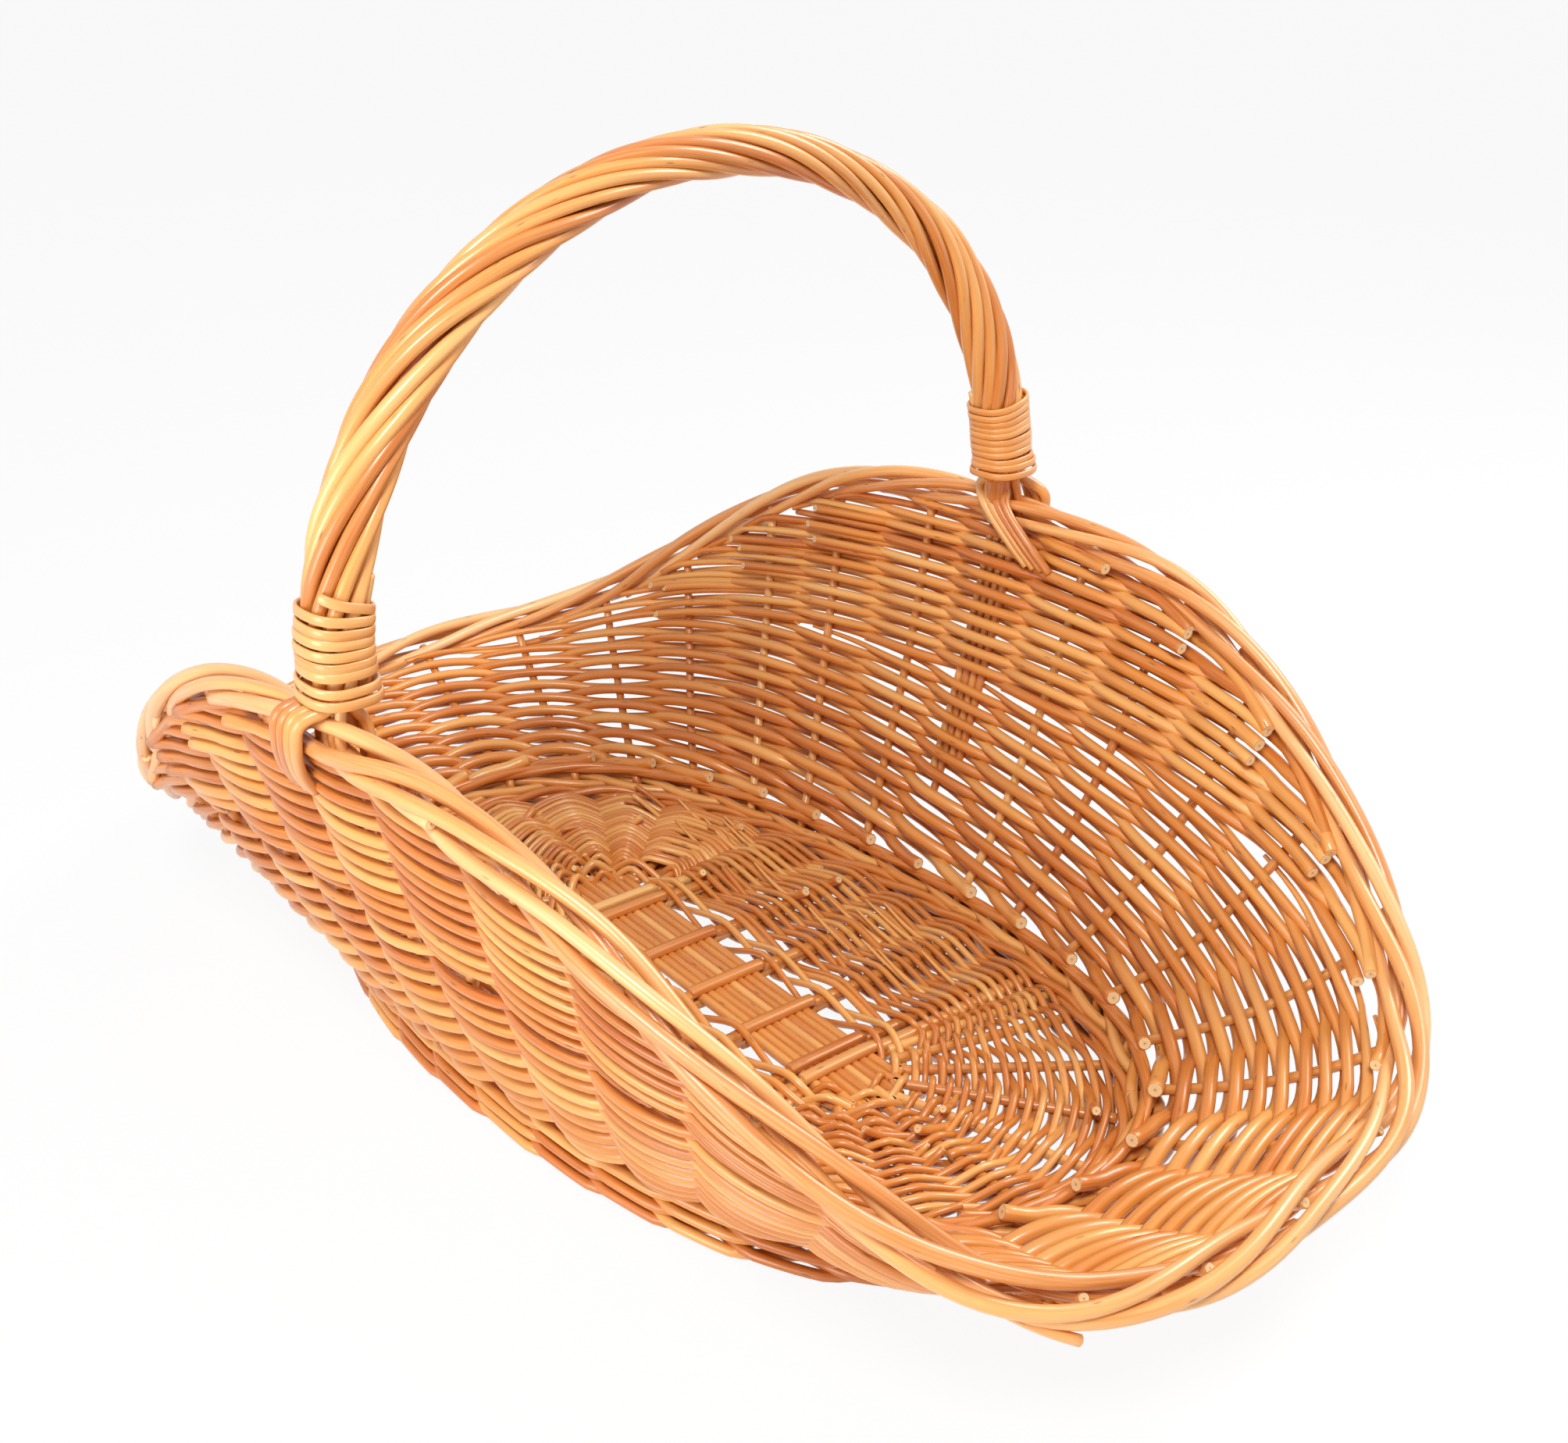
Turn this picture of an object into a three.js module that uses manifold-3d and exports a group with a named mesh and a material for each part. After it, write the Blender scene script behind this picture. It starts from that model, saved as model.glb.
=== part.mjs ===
// Oval willow log basket with a roped cross handle.
// Millimetres, +Z up, origin on the floor under the middle of the base, +X along the length.

import * as THREE from 'three';
import Module from 'manifold-3d';

// Rim: the centre line of the border, low at the two ends and high under the handle
const RIM_HALF_LENGTH = 318;
const RIM_HALF_WIDTH = 195;
const RIM_SQUARENESS = 2.8;
const RIM_END_HEIGHT = 72;
const RIM_SIDE_HEIGHT = 208;
const RIM_SHOULDER_DIP = 30;
const LOW_SHOULDER_DIP = 42;
const LOW_END_DROP = 9;
const LOW_END_TWIST = 15;
const LOW_END_REACH = 14;
const LOW_END_SHARPNESS = 3;

// Foot: the oval on which the side stakes stand
const FOOT_HALF_LENGTH = 224;
const FOOT_HALF_WIDTH = 132;
const FOOT_SQUARENESS = 2.3;
const FOOT_HEIGHT = 22;
const FOOT_ROD = 6;

// Side wall: the bend of its profile, its stakes and its weavers, which each go round several times
const WALL_BEND_OUT = 0.57;
const WALL_BEND_UP = 0.29;
const STAKES_PER_HALF = 15;
const STAKE_DIAMETER = 5.6;
const SIDE_WEAVERS = 6;
const WEAVER_TURNS = 3;
const WEAVER_THICKNESS = 5;
const WEAVER_LEAD = 14;
const FIRST_ROW_GAP = 8;

// Border: an oval roll that closes the top of the wall
const BORDER_WIDTH = 20;
const BORDER_HEIGHT = 15;

// Base: long slath sticks threaded through split cross sticks
const BASE_HEIGHT = 12;
const SLATH_STICKS = 8;
const SLATH_DIAMETER = 4.6;
const CROSS_DIAMETER = 6.6;
const CROSS_PITCH = 38.7;
const CROSS_SINGLES = 3;
const CROSS_PAIR_PITCH = 9;
const CROSS_SPLIT_TAPER = 14;
const SPOKE_PITCH = 39;
const FAN_STAGGER = 4;
const BASE_RINGS = 2;
const BASE_RING_START = 0.3;
const BASE_WEAVER_THICKNESS = 3;

// Handle: a bow rod pushed down into the wall, roped with two strands
const HANDLE_HALF_SPAN = 187;
const HANDLE_SPRING_HEIGHT = 233;
const HANDLE_TOP_HEIGHT = 410;
const HANDLE_CORE_DIAMETER = 11;
const HANDLE_LEG_WIDTH = 20;
const HANDLE_LEG_THICKNESS = 7;
const HANDLE_LEG_ROWS = 12;
const STRAND_RODS = 5;
const STRAND_OUTER_RADIUS = 11.8;
const STRAND_GROOVE = 1.4;
const STRAND_TURNS = 3;
const STRAND_START = 8;

// Lashings: a flat skein wound round each foot of the handle
const LASHING_TURNS = 10;
const LASHING_PITCH = 3.9;
const SKEIN_WIDTH = 2.7;
const SKEIN_THICKNESS = 2;

// Tails: the flat ends of the strands, led over the border and down the wall
const TAIL_ROD = 4.4;
const TAIL_DRIFT = 24;
const TAIL_REACH = 26;
const TAIL_STEPS = 2;

// Gaps between neighbouring pieces
const CLEARANCE = 0.6;
const CLOSE_CLEARANCE = 0.3;
const BORDER_CLEARANCE = 1.4;
const STRAND_CLEARANCE = 0.8;
const STRAND_SIDE_GAP = 1.4;
const ROW_GAP = 2;
const RING_GAP = 1;

// Mesh resolution
const OVAL_SAMPLES = 1440;
const ROD_SIDES = 6;
const BORDER_SIDES = 8;
const CORE_SIDES = 8;
const STAKE_STEPS = 5;
const LEG_STEPS = 4;
const HANDLE_STEPS = 36;
const LASHING_STEPS = 14;
const SHARE_NUDGE = 0.0005;
const SAME_PLACE = 1e-9;

const wasm = await Module();
wasm.setup();

const UP = new THREE.Vector3(0, 0, 1);
const LENGTHWISE = new THREE.Vector3(1, 0, 0);
const WIDTHWISE = new THREE.Vector3(0, 1, 0);
const stakeRadius = STAKE_DIAMETER / 2;

// Geometry helpers

function signedVolume(position, index) {
  const a = new THREE.Vector3();
  const b = new THREE.Vector3();
  const c = new THREE.Vector3();
  let volume = 0;
  for (let i = 0; i < index.length; i += 3) {
    a.fromArray(position, 3 * index[i]);
    b.fromArray(position, 3 * index[i + 1]);
    c.fromArray(position, 3 * index[i + 2]);
    volume += a.dot(b.cross(c)) / 6;
  }
  return volume;
}

function indexedGeometry(position, index) {
  const geometry = new THREE.BufferGeometry();
  geometry.setAttribute('position', new THREE.Float32BufferAttribute(position, 3));
  geometry.setIndex(index);
  return geometry;
}

// Skin a row of equal rings of points, each patch split along its shorter diagonal.
// A closed loft joins its last ring to its first. An open one gets a cap at both ends,
// cut into triangles on the flat outline given.
function loft(rings, outline = null) {
  const sides = rings[0].length;
  const position = rings.flat().flatMap((point) => point.toArray());
  const spans = outline ? rings.length - 1 : rings.length;
  const index = [];
  for (let i = 0; i < spans; i += 1) {
    const near = i * sides;
    const far = ((i + 1) % rings.length) * sides;
    for (let j = 0; j < sides; j += 1) {
      const k = (j + 1) % sides;
      const rising = rings[i][j].distanceTo(rings[(i + 1) % rings.length][k]);
      const falling = rings[i][k].distanceTo(rings[(i + 1) % rings.length][j]);
      if (rising < falling) {
        index.push(near + j, near + k, far + k, near + j, far + k, far + j);
      } else {
        index.push(near + j, near + k, far + j, near + k, far + k, far + j);
      }
    }
  }
  if (outline) {
    const last = (rings.length - 1) * sides;
    const clockwise = THREE.ShapeUtils.isClockWise(outline);
    for (const face of THREE.ShapeUtils.triangulateShape(outline, [])) {
      const [a, b, c] = clockwise ? [face[0], face[2], face[1]] : face;
      index.push(a, c, b, last + a, last + b, last + c);
    }
  }
  if (signedVolume(position, index) < 0) {
    index.reverse();
  }
  return indexedGeometry(position, index);
}

function toSolid(geometry) {
  const vertProperties = new Float32Array(geometry.attributes.position.array);
  const triVerts = new Uint32Array(geometry.index.array);
  return new wasm.Manifold(new wasm.Mesh({ numProp: 3, vertProperties, triVerts }));
}

function fromSolid(solid) {
  const mesh = solid.getMesh();
  return indexedGeometry(Array.from(mesh.vertProperties), Array.from(mesh.triVerts));
}

function joined(geometries) {
  const [first, ...rest] = geometries.map(toSolid);
  return fromSolid(rest.reduce((sum, solid) => sum.add(solid), first));
}

function ovalOutline(halfAcross, halfAlong, sides) {
  return Array.from({ length: sides }, (_, i) => {
    const angle = (2 * Math.PI * i) / sides;
    return new THREE.Vector2(halfAcross * Math.cos(angle), halfAlong * Math.sin(angle));
  });
}

function placed(outline, point, across, along) {
  return outline.map((corner) => point.clone()
    .addScaledVector(across, corner.x)
    .addScaledVector(along, corner.y));
}

// A round rod through a list of points, square to each stretch on average
function rodThrough(points, radius, sideHint) {
  const outline = ovalOutline(radius, radius, ROD_SIDES);
  const rings = points.map((point, i) => {
    const before = points[Math.max(i - 1, 0)];
    const after = points[Math.min(i + 1, points.length - 1)];
    const tangent = after.clone().sub(before).normalize();
    const across = sideHint.clone().cross(tangent).normalize();
    const along = tangent.clone().cross(across);
    return placed(outline, point, across, along);
  });
  return loft(rings, outline);
}

// Ovals, measured along their length from the +X end

function signedPower(value, power) {
  return Math.sign(value) * Math.abs(value) ** power;
}

function makeOval(halfLength, halfWidth, squareness) {
  const pointAt = (angle) => new THREE.Vector2(
    halfLength * signedPower(Math.cos(angle), 2 / squareness),
    halfWidth * signedPower(Math.sin(angle), 2 / squareness),
  );
  const angles = [];
  const lengths = [0];
  for (let i = 0; i <= OVAL_SAMPLES; i += 1) {
    angles.push((2 * Math.PI * i) / OVAL_SAMPLES);
    if (i > 0) {
      lengths.push(lengths[i - 1] + pointAt(angles[i]).distanceTo(pointAt(angles[i - 1])));
    }
  }
  const total = lengths[OVAL_SAMPLES];
  const angleAt = (share) => {
    const wanted = (share - Math.floor(share)) * total;
    let i = 1;
    while (lengths[i] < wanted) {
      i += 1;
    }
    const part = (wanted - lengths[i - 1]) / (lengths[i] - lengths[i - 1]);
    return THREE.MathUtils.lerp(angles[i - 1], angles[i], part);
  };
  return { pointAt, angleAt, total };
}

const footOval = makeOval(FOOT_HALF_LENGTH, FOOT_HALF_WIDTH, FOOT_SQUARENESS);
const rimOval = makeOval(RIM_HALF_LENGTH, RIM_HALF_WIDTH, RIM_SQUARENESS);

// The -X end hangs a little lower and further out than the other, and it is twisted:
// its +Y shoulder stands higher than its -Y shoulder
function lowEndShare(angle) {
  return Math.max(0, -Math.cos(angle)) ** LOW_END_SHARPNESS;
}

function rimHeight(angle) {
  const side = Math.sin(angle) ** 2;
  const shoulder = Math.sin(2 * angle);
  const dip = Math.cos(angle) > 0 ? RIM_SHOULDER_DIP : LOW_SHOULDER_DIP;
  const twist = LOW_END_TWIST * Math.max(0, -Math.cos(angle));
  return RIM_END_HEIGHT + (RIM_SIDE_HEIGHT - RIM_END_HEIGHT) * side
    - dip * shoulder ** 2 - twist * shoulder - LOW_END_DROP * lowEndShare(angle);
}

// Wall: upright below level 0, where its foot stands, then a bent profile up to level 1

function wallProfile(share) {
  const foot = footOval.pointAt(footOval.angleAt(share));
  const angle = rimOval.angleAt(share);
  const rim = rimOval.pointAt(angle);
  const start = new THREE.Vector3(foot.x, foot.y, FOOT_HEIGHT);
  const endX = rim.x - LOW_END_REACH * lowEndShare(angle);
  const end = new THREE.Vector3(endX, rim.y, rimHeight(angle));
  const middle = new THREE.Vector3(
    THREE.MathUtils.lerp(start.x, end.x, WALL_BEND_OUT),
    THREE.MathUtils.lerp(start.y, end.y, WALL_BEND_OUT),
    THREE.MathUtils.lerp(start.z, end.z, WALL_BEND_UP),
  );
  return new THREE.QuadraticBezierCurve3(start, middle, end);
}

function wallPoint(share, level) {
  const profile = wallProfile(share);
  if (level > 0) {
    return profile.getPoint(level);
  }
  return profile.v0.clone().addScaledVector(UP, FOOT_HEIGHT * level);
}

function wallFrame(share, level) {
  const ahead = wallPoint(share + SHARE_NUDGE, level);
  const behind = wallPoint(share - SHARE_NUDGE, level);
  const along = ahead.sub(behind).normalize();
  const rise = level > 0 ? wallProfile(share).getTangent(level) : UP.clone();
  const out = along.clone().cross(rise).normalize();
  return { point: wallPoint(share, level), along, rise, out };
}

// The woven part of the wall runs from height 0, just over the foot, to 1, just under the border
function wovenLevel(share, height) {
  const profile = wallProfile(share);
  const startSpeed = 2 * profile.v0.distanceTo(profile.v1);
  const endSpeed = 2 * profile.v1.distanceTo(profile.v2);
  const first = FIRST_ROW_GAP / startSpeed;
  const last = 1 - (BORDER_HEIGHT / 2 + BORDER_CLEARANCE) / endSpeed;
  return THREE.MathUtils.lerp(first, last, height);
}

// Uprights: the side stakes, with the two legs of the handle among them

const uprightCount = 2 * (STAKES_PER_HALF + 1);
const legShares = [0.25, 0.75];
const sideRows = SIDE_WEAVERS * WEAVER_TURNS;
const firstLegRow = sideRows - HANDLE_LEG_ROWS;

const uprights = Array.from({ length: uprightCount }, (_, i) => {
  const share = i / uprightCount;
  return { share, isLeg: legShares.includes(share) };
});

// Levels from a row's lower edge up to the top of the weave
function levelsFrom(share, row, steps) {
  return Array.from({ length: steps + 1 }, (_, i) => (
    wovenLevel(share, THREE.MathUtils.lerp(row / sideRows, 1, i / steps))
  ));
}

function sideStake(share) {
  const levels = [CLEARANCE / FOOT_HEIGHT - 1, 0, ...levelsFrom(share, 0, STAKE_STEPS)];
  const points = levels.map((level) => wallPoint(share, level));
  return rodThrough(points, stakeRadius, wallFrame(share, 0).along);
}

// A row passes the uprights on alternate sides. A crossing says how far out it lies at each.
function rowCrossings(row, rod, perimeter, hasLegs) {
  return uprights.flatMap(({ share, isLeg }, i) => {
    if (isLeg && !hasLegs) {
      return [];
    }
    const side = (i + row) % 2 === 0 ? -1 : 1;
    const halfDepth = isLeg ? HANDLE_LEG_THICKNESS / 2 : stakeRadius;
    const offset = side * (halfDepth + CLEARANCE + rod / 2);
    const halfReach = isLeg ? (HANDLE_LEG_WIDTH / 2 + CLEARANCE) / perimeter : 0;
    const shares = isLeg ? [share - halfReach, share + halfReach] : [share];
    return shares.map((place) => ({ share: place, offset, row }));
  });
}

function wovenRing({ share, offset }, rod, levels) {
  const [low, high] = levels.map((level) => wallFrame(share, level));
  const corner = (frame, depth) => frame.point.clone().addScaledVector(frame.out, depth);
  return [
    corner(low, offset - rod / 2),
    corner(low, offset + rod / 2),
    corner(high, offset + rod / 2),
    corner(high, offset - rod / 2),
  ];
}

// The foot is the row below the weavers, and ends just below the bend of the stakes
function footWale() {
  const crossings = rowCrossings(-1, FOOT_ROD, footOval.total, false);
  const top = -(stakeRadius + CLEARANCE) / FOOT_HEIGHT;
  return loft(crossings.map((crossing) => wovenRing(crossing, FOOT_ROD, [-1, top])));
}

function rowLevels(share, row) {
  const low = wovenLevel(share, row / sideRows);
  const high = wovenLevel(share, (row + 1) / sideRows);
  return [low, high - ROW_GAP / wallProfile(share).getLength()];
}

// After each turn a weaver climbs to its next row and passes two uprights on the same side,
// so its rows lie on alternate sides of every upright
function sideWeaver(weaver) {
  const crossings = Array.from({ length: WEAVER_TURNS }, (_, turn) => {
    const row = weaver * WEAVER_TURNS + turn;
    return rowCrossings(row, WEAVER_THICKNESS, rimOval.total, row >= firstLegRow);
  }).flat();
  const lead = WEAVER_LEAD / rimOval.total;
  const start = { ...crossings[0], share: crossings[0].share - lead };
  const last = crossings[crossings.length - 1];
  const end = { ...last, share: last.share + lead };
  const rings = [start, ...crossings, end].map((crossing) => (
    wovenRing(crossing, WEAVER_THICKNESS, rowLevels(crossing.share, crossing.row))
  ));
  const half = WEAVER_THICKNESS / 2;
  const outline = [[-half, -half], [half, -half], [half, half], [-half, half]];
  return loft(rings, outline.map(([x, y]) => new THREE.Vector2(x, y)));
}

// Handle: a bow in the upright plane across the middle of the basket

function legPoints(share) {
  const levels = [...levelsFrom(share, firstLegRow, LEG_STEPS), 1];
  return levels.map((level) => wallPoint(share, level));
}

const archRise = HANDLE_TOP_HEIGHT - STRAND_OUTER_RADIUS - HANDLE_SPRING_HEIGHT;

function archPoint(angle) {
  return new THREE.Vector3(
    0,
    HANDLE_HALF_SPAN * Math.sin(angle),
    HANDLE_SPRING_HEIGHT + archRise * Math.cos(angle),
  );
}

const coreRadius = HANDLE_CORE_DIAMETER / 2;
const rimAtLeg = wallFrame(legShares[0], 1);
const borderTop = rimAtLeg.point.z + BORDER_HEIGHT / 2;
const mirrored = (point) => new THREE.Vector3(point.x, -point.y, point.z);

// The roped stretch, from just over the border on the +Y side to the same place on the -Y side.
// It rises upright to the spring of the arch, or starts on the arch if the border lies higher.
const startHeight = borderTop + STRAND_START;
const startsUpright = startHeight < HANDLE_SPRING_HEIGHT;
const archStart = startsUpright ? Math.PI / 2 : Math.acos((startHeight - HANDLE_SPRING_HEIGHT) / archRise);
const archSteps = Array.from({ length: HANDLE_STEPS - 1 }, (_, i) => (
  archPoint(archStart - (2 * archStart * i) / (HANDLE_STEPS - 2))
));
const strandStart = startsUpright ? new THREE.Vector3(0, HANDLE_HALF_SPAN, startHeight) : archSteps[0];
const ropedPoints = startsUpright ? [strandStart, ...archSteps, mirrored(strandStart)] : archSteps;
const ropedCurve = new THREE.CatmullRomCurve3(ropedPoints, false, 'centripetal');
const ropedLength = ropedCurve.getLength();

function handleFrame(distance) {
  const part = THREE.MathUtils.clamp(distance / ropedLength, 0, 1);
  const tangent = ropedCurve.getTangentAt(part);
  const out = tangent.clone().cross(LENGTHWISE).normalize();
  return { point: ropedCurve.getPointAt(part), out, tangent };
}

function handleBow(extra) {
  const legOutline = ovalOutline(
    HANDLE_LEG_THICKNESS / 2 + extra, HANDLE_LEG_WIDTH / 2 + extra, CORE_SIDES,
  );
  const coreOutline = ovalOutline(coreRadius + extra, coreRadius + extra, CORE_SIDES);
  const legFrames = legPoints(legShares[0]).map((point, i, all) => {
    const before = all[Math.max(i - 1, 0)];
    const after = i + 1 < all.length ? all[i + 1] : strandStart;
    const out = after.clone().sub(before).cross(LENGTHWISE).normalize();
    return { point, out, outline: legOutline };
  });
  const ropedFrames = Array.from({ length: HANDLE_STEPS + 1 }, (_, i) => {
    const { point, out } = handleFrame((ropedLength * i) / HANDLE_STEPS);
    return { point, out, outline: coreOutline };
  });
  const farLeg = legFrames.map(({ point, out, outline }) => (
    { point: mirrored(point), out: mirrored(out), outline }
  ));
  const frames = [...legFrames, ...ropedFrames, ...farLeg.reverse()];
  const rings = frames.map(({ point, out, outline }) => placed(outline, point, out, LENGTHWISE));
  return loft(rings, legOutline);
}

// One strand: rods laid side by side. A corner of its section has a place across the rods,
// from 0 to 1, and is on the outside of the strand, in a groove there, or on the inside.
function strandCorners() {
  const corners = [];
  for (let rod = 0; rod < STRAND_RODS; rod += 1) {
    corners.push({ place: rod / STRAND_RODS, layer: 'groove' });
    corners.push({ place: (rod + 0.5) / STRAND_RODS, layer: 'outside' });
  }
  corners.push({ place: 1, layer: 'groove' });
  for (let rod = STRAND_RODS; rod >= 0; rod -= 1) {
    corners.push({ place: rod / STRAND_RODS, layer: 'inside' });
  }
  return corners;
}

const strandRadius = {
  outside: STRAND_OUTER_RADIUS,
  groove: STRAND_OUTER_RADIUS - STRAND_GROOVE,
  inside: coreRadius + STRAND_CLEARANCE,
};
const tailDepth = { outside: TAIL_ROD, groove: TAIL_ROD - STRAND_GROOVE, inside: 0 };

// Wrapped round the bow, the section is half a ring
function wrappedOutline(turn) {
  const halfAngle = Math.PI / 2 - STRAND_SIDE_GAP / strandRadius.inside / 2;
  return strandCorners().map(({ place, layer }) => {
    const angle = turn + THREE.MathUtils.lerp(-halfAngle, halfAngle, place);
    const radius = strandRadius[layer];
    return new THREE.Vector2(radius * Math.cos(angle), radius * Math.sin(angle));
  });
}

// In the tail, the section is flat
function tailOutline(side) {
  const width = STRAND_RODS * TAIL_ROD;
  return strandCorners().map(({ place, layer }) => (
    new THREE.Vector2(side * tailDepth[layer], side * (place - 0.5) * width)
  ));
}

function strandTail(side) {
  const depth = BORDER_WIDTH / 2 + CLEARANCE;
  const outline = tailOutline(side);
  const { point, out, rise } = rimAtLeg;
  const aboveRim = point.clone().add(new THREE.Vector3(0, side * depth, BORDER_HEIGHT / 2));
  const overBorder = placed(outline, aboveRim, WIDTHWISE, LENGTHWISE);
  const downWall = Array.from({ length: TAIL_STEPS + 1 }, (_, i) => {
    const part = 1 - i / TAIL_STEPS;
    const centre = point.clone()
      .addScaledVector(out, side * depth)
      .addScaledVector(rise, -part * TAIL_REACH)
      .addScaledVector(LENGTHWISE, part * TAIL_DRIFT);
    return placed(outline, centre, out, LENGTHWISE);
  });
  return [...downWall, overBorder];
}

function halfTurn(point) {
  return new THREE.Vector3(-point.x, -point.y, point.z);
}

function handleStrand(side) {
  const facing = side > 0 ? 0 : Math.PI;
  const wrapped = Array.from({ length: HANDLE_STEPS + 1 }, (_, i) => {
    const { point, out } = handleFrame((ropedLength * i) / HANDLE_STEPS);
    const turn = facing - (2 * Math.PI * STRAND_TURNS * i) / HANDLE_STEPS;
    return placed(wrappedOutline(turn), point, out, LENGTHWISE);
  });
  const firstTail = strandTail(side);
  const corners = strandCorners();
  const lastTail = firstTail.toReversed().map((ring) => {
    const turned = ring.map(halfTurn);
    return corners.map(({ place, layer }) => turned[corners.findIndex((other) => (
      other.layer === layer && Math.abs(other.place - (1 - place)) < SAME_PLACE
    ))]);
  });
  return loft([...firstTail, ...wrapped, ...lastTail], wrappedOutline(0));
}

// A skein wound round one foot of the handle, with a short straight end on each side
function lashing(flip) {
  const flatRadius = STRAND_OUTER_RADIUS + CLOSE_CLEARANCE + SKEIN_THICKNESS / 2;
  const radius = flatRadius / Math.cos(Math.PI / LASHING_STEPS);
  const stepCount = LASHING_TURNS * LASHING_STEPS;
  const outline = [[-1, -1], [1, -1], [1, 1], [-1, 1]].map(([a, b]) => (
    new THREE.Vector2((a * SKEIN_THICKNESS) / 2, (b * SKEIN_WIDTH) / 2)
  ));
  const rings = [];
  for (let i = 0; i <= stepCount; i += 1) {
    const angle = (2 * Math.PI * i) / LASHING_STEPS;
    const distance = SKEIN_WIDTH / 2 + (LASHING_PITCH * i) / LASHING_STEPS;
    const { point, out, tangent } = handleFrame(distance);
    const away = out.clone().multiplyScalar(Math.cos(angle))
      .addScaledVector(LENGTHWISE, Math.sin(angle));
    const heading = away.clone().cross(tangent);
    const centre = point.clone().addScaledVector(away, radius);
    const ring = placed(outline, centre, away, tangent);
    const straight = (sense) => ring.map((corner) => (
      corner.clone().addScaledVector(heading, sense * SKEIN_WIDTH)
    ));
    if (i === 0) {
      rings.push(straight(-1));
    }
    rings.push(ring);
    if (i === stepCount) {
      rings.push(straight(1));
    }
  }
  const turned = flip ? rings.map((ring) => ring.map(halfTurn)) : rings;
  return { geometry: loft(turned, outline), gap: leastTurnGap(turned) };
}

function leastTurnGap(rings) {
  let least = Infinity;
  for (let i = 0; i + LASHING_STEPS < rings.length; i += 1) {
    const next = rings.slice(i + LASHING_STEPS - 1, i + LASHING_STEPS + 2).flat();
    rings[i].forEach((a) => next.forEach((b) => {
      least = Math.min(least, a.distanceTo(b));
    }));
  }
  return least;
}

function border() {
  const outline = ovalOutline(BORDER_WIDTH / 2, BORDER_HEIGHT / 2, BORDER_SIDES);
  const samples = 2 * uprightCount;
  const rings = Array.from({ length: samples }, (_, i) => {
    const frame = wallFrame(i / samples, 1);
    return placed(outline, frame.point, frame.out, frame.rise);
  });
  return fromSolid(toSolid(loft(rings)).subtract(toSolid(handleBow(CLOSE_CLEARANCE))));
}

// Base: spokes lie in one plane and run out to an oval just inside the foot

const insideFoot = stakeRadius + CLEARANCE + FOOT_ROD + CLEARANCE;
const baseHalfLength = FOOT_HALF_LENGTH - insideFoot - CLEARANCE;
const baseHalfWidth = FOOT_HALF_WIDTH - insideFoot - CLEARANCE;
const baseOval = makeOval(baseHalfLength, baseHalfWidth, FOOT_SQUARENESS);
const slathPitch = SLATH_DIAMETER + CLOSE_CLEARANCE;
const slathHalfWidth = (SLATH_STICKS * slathPitch) / 2;
const crossRadius = CROSS_DIAMETER / 2;
const singlesSpan = CROSS_PITCH * (CROSS_SINGLES + 1);
const pairOuter = singlesSpan / 2 + CROSS_PAIR_PITCH / 2;
const crossPlaces = [
  -pairOuter,
  -pairOuter + CROSS_PAIR_PITCH,
  ...Array.from({ length: CROSS_SINGLES }, (_, i) => (i - (CROSS_SINGLES - 1) / 2) * CROSS_PITCH),
  pairOuter - CROSS_PAIR_PITCH,
  pairOuter,
];
const slathPlaces = Array.from({ length: SLATH_STICKS }, (_, i) => (
  (i - (SLATH_STICKS - 1) / 2) * slathPitch
));
const fanStart = pairOuter + crossRadius + CLEARANCE;

function baseWidthAt(x) {
  const reach = 1 - Math.abs(x / baseHalfLength) ** FOOT_SQUARENESS;
  return baseHalfWidth * reach ** (1 / FOOT_SQUARENESS);
}

// Each spoke is one end of a base stick, from the slath outwards
function slathSpoke(i, end) {
  const rank = (SLATH_STICKS - 1) / 2 - Math.abs(i - (SLATH_STICKS - 1) / 2);
  const inner = new THREE.Vector2(end * (fanStart + rank * FAN_STAGGER), slathPlaces[i]);
  const share = ((i - (SLATH_STICKS - 1) / 2) * SPOKE_PITCH) / baseOval.total;
  const outer = baseOval.pointAt(baseOval.angleAt(share));
  outer.x *= end;
  return { inner, outer, radius: SLATH_DIAMETER / 2 };
}

function crossSpoke(x, side) {
  const inner = new THREE.Vector2(x, side * (slathHalfWidth + CROSS_SPLIT_TAPER));
  const outer = new THREE.Vector2(x, side * baseWidthAt(Math.abs(x) + crossRadius));
  return { inner, outer, radius: crossRadius };
}

function flatPoint(plan, height) {
  return new THREE.Vector3(plan.x, plan.y, height);
}

function slathStick(i) {
  const [left, right] = [-1, 1].map((end) => slathSpoke(i, end));
  const trim = SLATH_DIAMETER / 2;
  const trimmed = ({ inner, outer }) => {
    const length = outer.distanceTo(inner);
    return inner.clone().lerp(outer, (length - trim) / length);
  };
  const plan = [trimmed(left), left.inner, right.inner, trimmed(right)];
  return rodThrough(plan.map((point) => flatPoint(point, BASE_HEIGHT)), SLATH_DIAMETER / 2, UP);
}

// A cross stick is split in the middle, and its halves pass over and under the slath
function crossStick(x) {
  const reach = baseWidthAt(Math.abs(x) + crossRadius);
  const eye = slathHalfWidth + CLEARANCE;
  const opening = SLATH_DIAMETER / 2 + CLOSE_CLEARANCE;
  const outline = ovalOutline(crossRadius, crossRadius, 2 * ROD_SIDES).slice(0, ROD_SIDES + 1);
  const half = (side) => {
    const places = [-reach, -eye - CROSS_SPLIT_TAPER, -eye, eye, eye + CROSS_SPLIT_TAPER, reach];
    const rings = places.map((y) => {
      const lift = Math.abs(y) <= eye ? opening : 0;
      return outline.map((corner) => new THREE.Vector3(
        x + corner.x, y, BASE_HEIGHT + side * (lift + corner.y),
      ));
    });
    return loft(rings, outline);
  };
  return joined([half(1), half(-1)]);
}

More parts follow.
